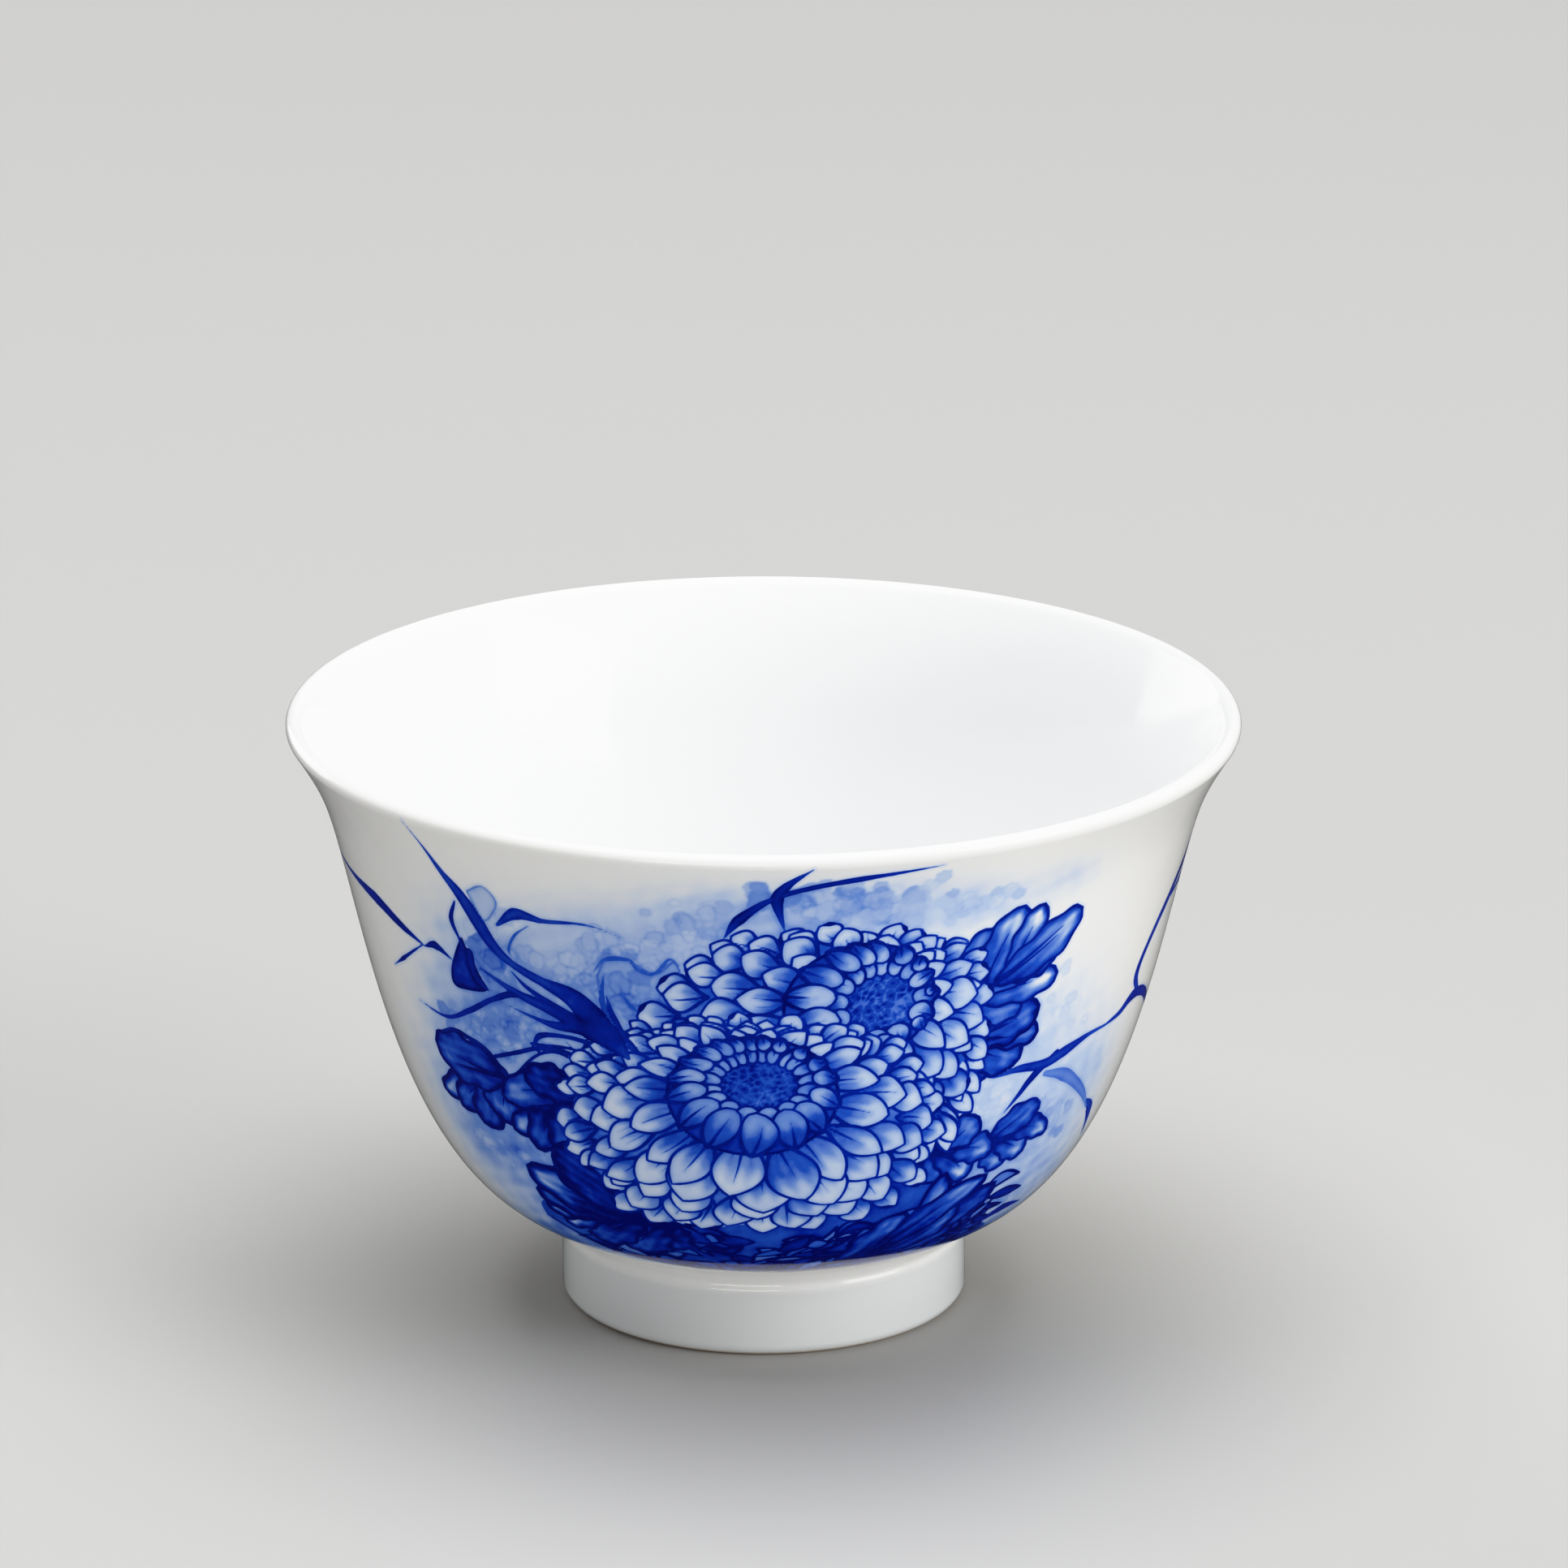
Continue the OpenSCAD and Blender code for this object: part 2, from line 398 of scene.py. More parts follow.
def leaf(canvas, root, end, lobes, *, ground, rim, line=0.34, body_half=1.6):
    """A leaf of lobes. Each lobe is (turn, climb, half width, where it leaves the midrib as a
    share of it, paleness of its tip), drawn in turn as a blunt petal with a vein."""
    dice = canvas.dice
    stem = at(*root)
    mid = canvas.way(stem, *end)
    body, _ = petal_edge(np.zeros(2), 0.86 * mid, body_half, 0.0, 0.6, 0.9, 20)
    canvas.shape(canvas.offset(stem, body), ground + 0.1, 0.0)
    for degrees, climb, half, share, tip_pale in lobes:
        half = 1.28 * half
        tip = canvas.way(stem, degrees, climb)
        base = share * mid
        edge, middle = petal_edge(base, tip, half, dice.normal(0, 0.05), 0.46, 1.25, 26)
        t = np.linspace(0, 9, len(edge))
        away = edge - np.vstack([middle, middle[-2:0:-1]])
        edge = edge + away * (0.10 * np.sin(t * 4 + dice.uniform(0, 6)))[:, None]
        tone = ground * dice.uniform(0.9, 1.1)

        def fill(u, v, depth):
            """Streaked, dark at the base and along the edge, with a pale patch to the tip."""
            streak = 0.05 * np.sin(v * 6 + 2 * np.sin(u * 5)) + 0.04 * np.sin(u * 17 + v * 3)
            spot = smooth(0.45, 0.85, u) * smooth(0.15, 0.55, depth / half)
            dark = 0.18 * smooth(0.35, 0.0, u) + 0.12 * np.exp(-depth / 0.3)
            return np.clip(tone + streak + dark - tip_pale * spot, 0.02, 1)

        ends = (canvas.offset(stem, base)[0], canvas.offset(stem, tip)[0])
        canvas.shape(canvas.offset(stem, edge), fill, axis=ends)
        canvas.stroke(canvas.offset(stem, np.vstack([edge, edge[:1]])),
                      [1.1 * line, line, 1.25 * line, line, 1.1 * line], rim)
        canvas.stroke(canvas.offset(stem, middle[1:18]), [1.3 * line, 0.8 * line, 0.1], rim)
    canvas.stroke(canvas.offset(stem, np.linspace(0, 0.85, 9)[:, None] * mid), [0.5, 0.4, 0.1], rim)


def blade(canvas, turns, climbs, widths, tone=0.97):
    """A grass blade: one loaded stroke through a few places, its width swelling and dying away."""
    canvas.stroke(spline(canvas.place(turns, climbs), 10), widths, 0.96 * tone, BLADE_FADE)


def lay_blades(canvas, rows):
    """Blades in turn, each its turns, climbs and widths and, where it isn't full, its tone."""
    for row in rows:
        blade(canvas, *row)


def tuck(canvas, home, tips, reach, half, pale, deep):
    """Single petals under the edge of a bloom, each reaching back from its tip to home."""
    for degrees, climb in tips:
        tip = canvas.way(home, degrees, climb, climb)
        base = tip * (1 - reach / math.hypot(*tip))
        petal(canvas, home, base, tip, half * canvas.dice.uniform(0.85, 1.1), pale, deep, line=0.275,
              bend=canvas.dice.normal(0, 0.06), blunt=0.75, swell=1.3, vein=0.65)


def tear(canvas, a, b, half, fill, line, tone, bend):
    """A pointed leaf of thin wash with a drawn edge, from place a to place b."""
    home = at(*a)
    edge, _ = petal_edge(np.zeros(2), canvas.way(home, *b), half, bend, 1.0, 0.9, 16)
    canvas.shape(canvas.offset(home, edge), fill, line, tone)


# A dab's size as a share of the size that a scatter is given
DAB_SIZE = 0.72


def scatter(canvas, centre, reach, count, size, strength, rim):
    """Watery dabs thrown round a place, denser in its middle."""
    for _ in range(count):
        xy = canvas.dice.normal(0, 0.5, 2) * reach
        s = DAB_SIZE * size * canvas.dice.uniform(0.6, 1.3)
        canvas.dab(canvas.offset(centre, xy)[0], (s, s * canvas.dice.uniform(0.7, 1.15)),
                   strength * canvas.dice.uniform(0.4, 1.2), rim * canvas.dice.uniform(0.3, 1.2))


# What the tables of washes are multiplied by: the strength of clouds, and the number, the
# strength and the dried rims of dabs
CLOUD_STRENGTH, DAB_COUNT, DAB_STRENGTH, DAB_RIM = 1.25, 1.8, 2.4, 0.5


def washes(canvas):
    """The thin washes behind the spray. First clouds: turn, climb, size across and up, and
    strength. Then scattered dabs: turn, climb, reach across and up, number, size, strength
    and rim."""
    for d, c, a, b, s in (
            (-38, 38, 7, 5, .16), (-17, 38, 8, 5, .20), (-34, 33, 9, 4.5, .24), (-44, 30, 6, 4, .16),
            (0, 45, 10, 3.5, .18), (14, 46, 7, 3, .10), (-46, 24, 8, 5, .16), (-37, 17, 9, 5, .28),
            (-52, 19, 4, 5, .10), (-30, 10, 9, 4, .26), (38, 30, 8, 6, .10), (47, 19, 8, 6, .12),
            (52, 12, 7, 4, .14), (28, 45, 5, 2.5, .08), (34, 18.5, 5, 3, .30), (-40, 6, 7, 3, .30),
            (47, 6, 7, 3, .24), (41, 46, 4, 2, .05), (56, 24, 5, 5, .07), (-24, 43, 5, 3, .05)):
        canvas.cloud(at(d, c), (a, b), CLOUD_STRENGTH * s)
    for d, c, a, b, n, z, s, r in (
            (-17, 38.5, 4.5, 3.2, 22, 1.1, .13, .24), (-12, 42, 4, 2.5, 12, 1.0, .09, .12),
            (-24, 38, 3.5, 4, 10, 1.0, .10, .15), (-8, 45, 4, 2.2, 12, 1.1, .10, .10),
            (2, 48, 5, 1.8, 16, 1.2, .14, .1), (9, 47, 5, 2.4, 20, 1.2, .12, .1),
            (17, 46.5, 5, 2.4, 12, 1.2, .08, .06), (26, 45.5, 5, 1.5, 9, 1.1, .06, .06),
            (-31, 38, 4, 3, 7, 1.3, .08, .12), (-38, 41, 3, 3, 6, 1.3, .08, .14),
            (-40, 30.5, 6, 1.8, 20, 0.9, .15, .18), (-34, 32.5, 4, 1.5, 10, 0.9, .12, .14),
            (-33, 17, 5, 3, 14, 1.0, .14, .14), (-47, 17, 5, 3, 8, 0.9, .06, .06),
            (37, 24.5, 4, 2.2, 10, 1.1, .05, .05), (45, 21, 5, 4, 12, 1.1, .08, .07),
            (43, 11.5, 4, 2.5, 10, 1.1, .14, .12), (30, 18, 3, 2, 8, 0.9, .14, .16),
            (46, 30, 4, 5, 10, 0.9, .04, .05), (52, 17, 4, 4, 8, 0.8, .10, .05)):
        scatter(canvas, at(d, c), (a, b), int(DAB_COUNT * n), z, DAB_STRENGTH * s, DAB_RIM * r)


def left_ground(canvas):
    """The thin leaves and the half-open flower behind the long blades on the left."""
    for fill, line, tone, turns, climbs in (
            (.15, .22, .30, (-40.8, -37.8, -36.2, -37.2, -39.1), (44.7, 45.7, 44.4, 43.0, 42.1)),
            (.42, .0, .5, (-42.5, -39.8, -37.3, -36.6, -40.1, -42.3), (39.8, 40.6, 38.6, 37.6, 35.5, 37.6)),
            (.26, .0, .5, (-35.6, -31.8, -28.9, -30.4, -34.5), (37.8, 37.2, 35.6, 34.6, 35.5)),
            (.27, .22, .42, (-22.4, -20.9, -17.8, -14.3, -11.5, -11.0, -15.0, -19.0, -22.0),
             (38.5, 40.2, 40.4, 39.3, 40.6, 37.0, 33.5, 32.3, 35.0))):
        ring = spline(canvas.place(turns + turns[:1], climbs + climbs[:1]), 6)[:-1]
        canvas.shape(ring, fill, line, tone)
    scatter(canvas, at(-17.0, 37.0), (3.6, 2.8), 26, 1.2, .36, .14)
    scatter(canvas, at(-39.5, 38.0), (3.0, 2.5), 10, 1.2, .40, .12)
    for d, c in ((-23.0, 41.9), (-19.9, 42.6), (-24.8, 39.7), (-27.8, 38.2), (-31.3, 39.1), (-7.0, 46.0)):
        canvas.dab(at(d, c), (0.75, 0.95), 0.19, 0.06)
    lay_blades(canvas, (
        ((-22.9, -20.9, -17.8, -16.5, -14.3, -12.3, -11.0), (38.9, 40.3, 40.5, 39.6, 39.4, 40.9, 40.4),
         (.1, .5, .35, .4, .3, .1), .58),
        ((-21.5, -22.1, -21.0, -18.6), (38.6, 36.1, 34.0, 32.3), (.15, .6, .5, .1), .68),
        ((-19.3, -18.4, -15.9), (37.7, 36.2, 34.7), (.1, .4, .1), .58),
        ((-31.7, -34.2, -35.6, -35.3), (42.5, 41.2, 39.6, 38.9), (.08, .3, .3, .1), .55)))


def undergrowth(canvas):
    """The dark leafage under the blooms: a deep wash, then long pointed leaves laid over it."""
    dice = canvas.dice
    ground = canvas.place([-44, -30, -10, 15, 36, 50, 44, 31, 24, 10, -10, -22, -30, -42],
                          [9.5, 5.0, 3.2, 2.6, 3.4, 6.0, 9, 16.5, 19, 15, 12, 14, 14, 12])
    canvas.shape(spline(np.vstack([ground, ground[:1]]), 6)[:-1], 0.7)
    for _ in range(150):
        d = dice.uniform(-34, 43)
        low = 2.6 + 4.4 * ((d - 6) / 46) ** 2
        c = low + dice.uniform(0.0, 8.5)
        hand = 1 if d + dice.normal(0, 6) > 0 else -1
        reach = dice.uniform(3.5, 9)
        tear(canvas, (d, c), (d + hand * reach, c + dice.uniform(-1.0, 3.0)), dice.uniform(0.3, 0.8),
             dice.choice([0.42, 0.50, 0.56, 0.64, 0.74, 0.86]), dice.uniform(0.22, 0.42), 0.97,
             dice.normal(0, 0.16))
    edge = canvas.place([-43, -30, -10, 15, 36, 52], [9.4, 5.1, 3.3, 2.7, 3.4, 6.0])
    canvas.stroke(spline(edge), [0.2, 0.5, 0.7, 0.7, 0.5, 0.2], 1.0)


def left_leaves(canvas):
    """Three thin leaves, then the lobed leaves on the left and the twigs that they grow on."""
    for a, b, half, fill, tone, bend in (
            ((-23.5, 30.0), (-34.5, 30.4), 1.3, 0.2, 0.85, 0.12),
            ((-24.5, 27.8), (-37.5, 27.2), 1.7, 0.24, 0.85, -0.1),
            ((-26.5, 27.0), (-35, 25.4), 1.3, 0.42, 0.9, -0.14)):
        tear(canvas, a, b, half, fill, 0.3, tone, bend)
    lay_blades(canvas, (
        ((-41.9, -38.1, -33.6, -29.7, -26.5, -24.9, -24.6), (28.0, 28.9, 30.0, 30.3, 29.7, 28.7, 27.0),
         (.4, .45, .4, .5, .3), .95),
        ((-34.2, -32.7, -29.4, -25.2, -22.1), (30.2, 31.4, 31.8, 31.6, 30.7), (.3, .6, .4, .5, .3), .92),
        ((-28.5, -25.6, -24.6), (31.3, 29.5, 27.9), (.1, .3, .2), .85)))
    leaf(canvas, (-40.0, 26.0), (-54, 25.5), (
        (-57.4, 22.0, 1.2, 0.35, .5), (-53.4, 20.9, 1.3, 0.2, .2), (-48.8, 19.9, 1.6, 0.1, .25),
        (-43.6, 21.0, 1.8, 0.0, .3), (-55.8, 27.2, 2.0, 0.0, .22)), ground=.80, rim=1.0, body_half=2.2)
    blade(canvas, (-54.6, -50.2, -47.0, -43.4, -40.0), (28.2, 29.3, 29.1, 28.3, 26.0),
          (.3, .5, .5, .6, .4), 1.0)
    leaf(canvas, (-27.0, 25.2), (-40, 23), (
        (-41.4, 20.4, 1.2, 0.3, .5), (-37.6, 18.9, 1.4, 0.2, .2), (-32.6, 18.8, 1.8, 0.05, .2),
        (-42.2, 24.0, 1.5, 0.1, .3), (-36.8, 27.0, 1.5, 0.0, .1)), ground=.80, rim=1.0, body_half=2.0)
    leaf(canvas, (-15.5, 12.0), (-38, 13.5), (
        (-19.2, 8.4, 1.8, 0.0, .1), (-26.0, 7.0, 2.1, 0.1, .2), (-32.8, 7.6, 1.8, 0.25, .2),
        (-38.3, 9.4, 1.2, 0.55, .6), (-41.4, 11.3, 1.2, 0.6, .6), (-42.4, 13.4, 1.4, 0.3, .35),
        (-42.8, 16.2, 1.7, 0.2, .6), (-35.4, 19.6, 2.4, 0.05, .12)), ground=.84, rim=1.0, body_half=3.2)


def right_leaves(canvas):
    """The lobed leaves on the right, the two upper ones first, and the grass under them."""
    leaf(canvas, (28.0, 31.5), (39, 30.5), (
        (33.4, 27.0, 1.5, 0.0, .1), (39.2, 28.2, 1.5, 0.1, .15), (41.8, 30.5, 1.3, 0.2, .2),
        (41.2, 33.2, 1.6, 0.1, .25)), ground=.66, rim=.95)
    leaf(canvas, (26.5, 34.2), (46, 42.0), (
        (37.8, 33.6, 1.6, 0.0, .1), (43.6, 36.1, 1.35, 0.15, .5), (42.8, 38.6, 1.3, 0.35, .42),
        (31.6, 42.2, 2.0, 0.0, .1), (35.6, 44.0, 1.45, 0.2, .45), (39.0, 43.7, 1.1, 0.4, .5),
        (46.4, 42.1, 1.5, 0.3, .4)), ground=.54, rim=.88, line=.3, body_half=2.8)
    leaf(canvas, (36.0, 19.4), (47, 20), (
        (42.0, 16.4, 1.3, 0.0, .3), (46.0, 17.2, 1.2, 0.25, .4), (50.6, 18.8, 1.0, 0.4, .5),
        (46.6, 22.4, 1.25, 0.1, .15)), ground=.62, rim=.9, line=.3)
    leaf(canvas, (26.5, 19.6), (36, 20), (
        (30.2, 16.4, 1.3, 0.0, .1), (34.6, 16.0, 1.3, 0.1, .5), (38.5, 18.6, 1.3, 0.3, .4),
        (34.2, 22.7, 1.4, 0.1, .2)), ground=.62, rim=.93, line=.3)
    leaf(canvas, (15.0, 5.0), (38, 11.5), (
        (38.5, 9.2, 1.4, 0.2, .1), (45.0, 13.9, 1.2, 0.5, .15), (26.0, 12.6, 1.5, 0.0, .2),
        (32.2, 16.9, 1.3, 0.1, .3), (37.6, 12.2, 1.2, 0.2, .25), (41.8, 15.5, 1.15, 0.25, .35)),
        ground=.74, rim=.98, line=.34)
    lay_blades(canvas, (
        ((28, 36, 44, 50, 56.5), (4.6, 6.0, 7.6, 9.2, 9.0), (.3, .5, .5, 1.5, .2), .97),
        ((41, 40.8, 42.6), (12.5, 9.5, 6.2), (.1, .6, .1), .95)))


def blades(canvas):
    """The grass blades over the spray: a wedge of ink, then those on the left, those over the
    blooms and those on the right."""
    wedge = canvas.place([-43.9, -45.3, -46.9, -47.4, -45.6, -41.0, -42.9, -43.4, -43.9],
                         [39.4, 38.0, 36.2, 34.6, 34.3, 34.9, 36.6, 38.2, 39.4])
    canvas.shape(spline(wedge, 5)[:-1], 0.86, 0.3, 0.92)
    lay_blades(canvas, (
        ((-47.2, -46.1, -44.6, -42.4, -40.3, -38.3, -35.4, -30.9, -26.5, -23.6, -21.3, -19.2),
         (51.6, 49.1, 46.3, 44.2, 41.9, 39.7, 38.2, 37.0, 35.9, 34.0, 32.3, 30.6),
         (.06, .25, .7, 1.35, 1.65, 1.3, .8, 1.0, 2.1, 2.9, 2.7, .5)),
        ((-41.3, -35.4, -29.5, -24.2, -21.0), (36.9, 35.3, 34.2, 32.7, 31.4), (.2, .8, 1.3, 1.9, .8)),
        ((-35.8, -33.3, -28.1, -24), (37.4, 36.0, 34.4, 33.0), (.15, .45, .7, 1.0)),
        ((-57.5, -50.9, -45.2, -40.1, -35.0, -28), (30.9, 30.5, 32.1, 34.0, 35.2, 34.3),
         (.06, .35, .55, .5, .7, .4), .94),
        ((-37.3, -32.7, -29.7, -25.7, -22.5), (33.8, 33.1, 32.8, 33.0, 32.2), (.1, .4, .8, 1.6, .6), .96),
        ((-43.6, -45.1, -44.4, -44.0), (43.2, 41.2, 39.4, 38.4), (.2, .6, .3, .4), .93),
        ((-42.9, -43.0, -42.2, -40.4), (38.2, 36.8, 35.6, 34.8), (.9, 1.1, 1.2, .1)),
        ((-21.4, -20.6, -18.4), (36.6, 34.2, 31.6), (.15, .8, .4), .9),
        ((-84, -72, -64, -57.4, -52.6), (41.0, 40.2, 39.6, 38.2, 37.2), (.06, .6, 1.3, .9, .15)),
        ((-52.4, -49.8, -46.6), (37.2, 37.7, 36.8), (.15, .9, .1)),
        ((-63.2, -59.1, -53.0), (33.3, 34.8, 37.2), (.06, .4, .12), .9),
        ((-36.8, -33.4, -29.4, -24.4, -21.4, -18.4), (41.9, 43.5, 43.3, 43.6, 43.4, 42.7),
         (.3, 1.25, .5, .25, .12, .06), .88),
        ((-5.0, -3.1, 0.8, 5.0, 11.4, 21.5), (43.4, 45.3, 47.6, 48.9, 49.9, 50.8),
         (.15, 1.1, .6, .6, .7, .06)),
        ((5.8, 2.8, 1.6, 2.6), (51.5, 49.4, 47.6, 44.2), (.1, .9, 1.2, .15)),
        ((35.0, 39.8, 44.9, 49.3, 54.3, 59.6), (26.7, 27.0, 26.7, 27.3, 28.0, 28.1),
         (.06, .8, 1.1, 1.2, .5, .25), .86),
        ((59.0, 63.2, 66.8, 71.5, 78, 86), (28.1, 28.5, 29.4, 29.0, 27.0, 23.4),
         (.25, .7, 1.2, 1.0, .8, .06), .9),
        ((69.2, 66.2, 68.0, 73, 82, 93, 103), (29.3, 31.6, 34.4, 37.6, 41.6, 45.0, 46.4),
         (.4, 1.0, .9, 1.2, 1.6, 1.1, .06), .93),
        ((38.8, 41.1, 43.3, 47.2), (22.5, 24.2, 25.8, 27.4), (.08, .6, .9, .8), .9),
        ((45.8, 50.8, 57.5, 62.5), (25.6, 24.6, 21.8, 19.0), (.6, 1.3, .9, .3), .45),
        ((61.5, 64.6, 68.6), (19.9, 18.4, 14.6), (.4, 1.1, .1), .85)))


def sides(canvas):
    """Blades that carry the spray on round the sides of the cup."""
    lay_blades(canvas, (
        ((-80, -89, -99, -110, -119), (40.8, 42.8, 45.0, 46.0, 45.2), (.3, 1.4, 1.5, .9, .06), .9),
        ((-84, -92, -101, -110), (41.2, 39.4, 36.4, 32.0), (.2, 1.2, 1.1, .06), .86),
        ((-87, -91, -94), (40.4, 36.6, 32.4), (.15, .8, .06), .55),
        ((74, 82, 91, 101, 109), (37.6, 38.4, 37.6, 34.4, 29.6), (.3, 1.2, 1.4, .9, .06), .88),
        ((80, 87, 93), (38.4, 35.0, 30.6), (.2, .9, .06), .55)))
    for d, c in ((-97, 40), (95, 38)):
        canvas.cloud(at(d, c), (6.5, 4.5), 0.16)
        scatter(canvas, at(d, c), (7.0, 4.5), 34, 1.0, .13, .04)


def paint_cup(canvas):
    """Lays the whole spray on the canvas, the things behind first. The rear bloom comes before
    the front one."""
    for behind in (washes, left_ground, undergrowth, left_leaves, right_leaves):
        behind(canvas)
    tuck(canvas, at(15.8, 34.0),
         ((29.6, 19.6), (30.8, 22.0), (32.4, 23.6), (33.0, 25.6), (33.2, 28.0), (33.0, 30.4),
          (30.4, 20.6), (30.2, 25.0), (30.6, 27.4)), 4.6, 0.95, 0.07, 0.45)
    bloom(canvas, at(15.8, 36.4),
          ((16, (9.9, 7.2), (-2.8, -1.2), 5.2), (16, (12.4, 8.8), (-3.7, -2.0), 5.0),
           (22, (14.2, 10.1), (-4.3, -2.6), 4.2), (26, (15.7, 11.1), (-4.6, -3.0), 3.8)),
          ((6.6, 5.9), (-1.8, 0.1)), ((3.4, 3.2), (0, 0)), 0.25, -0.12, 0.50, 0.08, (12, 0.16, 0.66))
    bloom(canvas, at(-0.6, 28.5),
          ((19, (11.5, 9.3), (-0.3, -3.4), 5.8), (19, (13.4, 10.2), (-0.5, -4.0), 5.0),
           (25, (15.0, 10.9), (-0.7, -4.5), 4.0), (30, (16.3, 11.5), (-0.9, -4.9), 3.5),
           (34, (17.5, 12.0), (-1.0, -5.3), 3.2)),
          ((7.35, 6.15), (-0.6, -1.25)), ((3.9, 2.75), (0, 0)), 0.34, 0.08, 0.54, 0.08, (18, 0.22, 0.74))
    blades(canvas)
    sides(canvas)


# ---------------------------------------------------------------- the cup's outline


def length(name, text, default):
    """A property for a length, its default given in millimetres."""
    return bpy.props.FloatProperty(
        name=name, description=text, default=default * MM, min=0.0, unit="LENGTH")


def lean(name, text, degrees):
    """A property for an angle, its default given in degrees."""
    return bpy.props.FloatProperty(
        name=name, description=text, default=math.radians(degrees), subtype="ANGLE")


class CupSizes(bpy.types.PropertyGroup):
    """The sizes of the cup's outline."""

    rim: length("Rim", "Diameter over the lip", (cad_box[1].x - cad_box[0].x) / MM)
    height: length("Height", "Height from the table to the lip", cad_box[1].z / MM)
    lip: length("Lip edge", "Radius of the lip's round edge", 0.8)
    lip_lean: lean("Lip lean", "How far the lip leans out", 34)
    neck: length("Neck", "Diameter where the lip turns into the wall", 77.5)
    neck_drop: length("Neck drop", "Drop from the lip's top to the neck", 7.1)
    neck_lean: lean("Neck lean", "Lean of the wall at the neck", 19.5)
    shoulder: length("Shoulder", "Fullness of the wall below the neck", 9.6)
    belly: length("Belly", "Fullness of the wall above the foot", 14)
    belly_rise: lean("Belly rise", "Rise of the belly where it leaves the foot", 14)
    hollow_neck: length("Hollow neck", "Diameter of the hollow at its neck", 71.2)
    hollow_drop: length("Hollow drop", "Drop from the lip's top to the hollow's neck", 10.5)
    hollow_lean: lean("Hollow lean", "Lean of the hollow's wall at its neck", 16.5)
    hollow_lip: length("Hollow lip", "Length over which the hollow turns in from the lip", 4)
    hollow: length("Hollow fullness", "Fullness of the hollow below its neck", 29.5)
    floor_reach: length("Floor reach", "Reach of the flat of the hollow's floor", 29)
    floor: length("Floor", "Height of the hollow's floor above the table", 10.4)
    foot: length("Foot", "Diameter of the foot", 36)
    foot_corner: length("Foot corner", "Height of the corner that the fillet rounds", 8.2)
    fillet: length("Fillet", "Radius between the belly and the foot", 2)
    ring: length("Ring", "Thickness of the foot ring", 3)
    foot_edge: length("Foot edge", "Radius of the foot's outer lower edge", 1)
    ring_edge: length("Ring edge", "Radius of the foot's inner lower edge", 0.7)
    recess: length("Recess", "Radius at the top of the recess", 1.2)
    glaze_stop: lean("Glaze stop", "How far round the lower edges the glaze runs", 40)
    glaze: length("Glaze", "Thickness of the glaze", 0.3)
    crease: length("Crease", "Depth of the crease where the glaze ends at the foot", 0.16)


def ray(angle):
    """The step of length 1 in a direction: (cos a, sin a)."""
    return np.array([math.cos(angle), math.sin(angle)])


def falling(slope):
    """The step of length 1 down and inwards, a slope away from upright: (-sin s, -cos s)."""
    return np.array([-math.sin(slope), -math.cos(slope)])


def curve(a, b, c, d, steps=200):
    """A cubic curve: (1-t)^3 a + 3 (1-t)^2 t b + 3 (1-t) t^2 c + t^3 d for t from 0 to 1."""
    t = np.linspace(0, 1, steps)[:, None]
    return (1 - t) ** 3 * a + 3 * (1 - t) ** 2 * t * b + 3 * (1 - t) * t * t * c + t ** 3 * d


def arc(centre, radius, start, end):
    """Part of a circle: centre + radius (cos a, sin a) for a from start to end, in degrees."""
    angle = np.radians(np.linspace(start, end, 48))
    return centre + radius * np.column_stack([np.cos(angle), np.sin(angle)])


def travel(run):
    """The way along a run at each of its points: the lengths of its steps, summed."""
    return np.concatenate([[0], np.cumsum(np.hypot(*np.diff(run, axis=0).T))])


def even(run, step):
    """The run with its points an even step apart, read off at equal lengths along it."""
    way = travel(run)
    marks = np.linspace(0, way[-1], max(2, int(round(way[-1] / step)) + 1))
    return np.column_stack([np.interp(marks, way, run[:, i]) for i in (0, 1)])


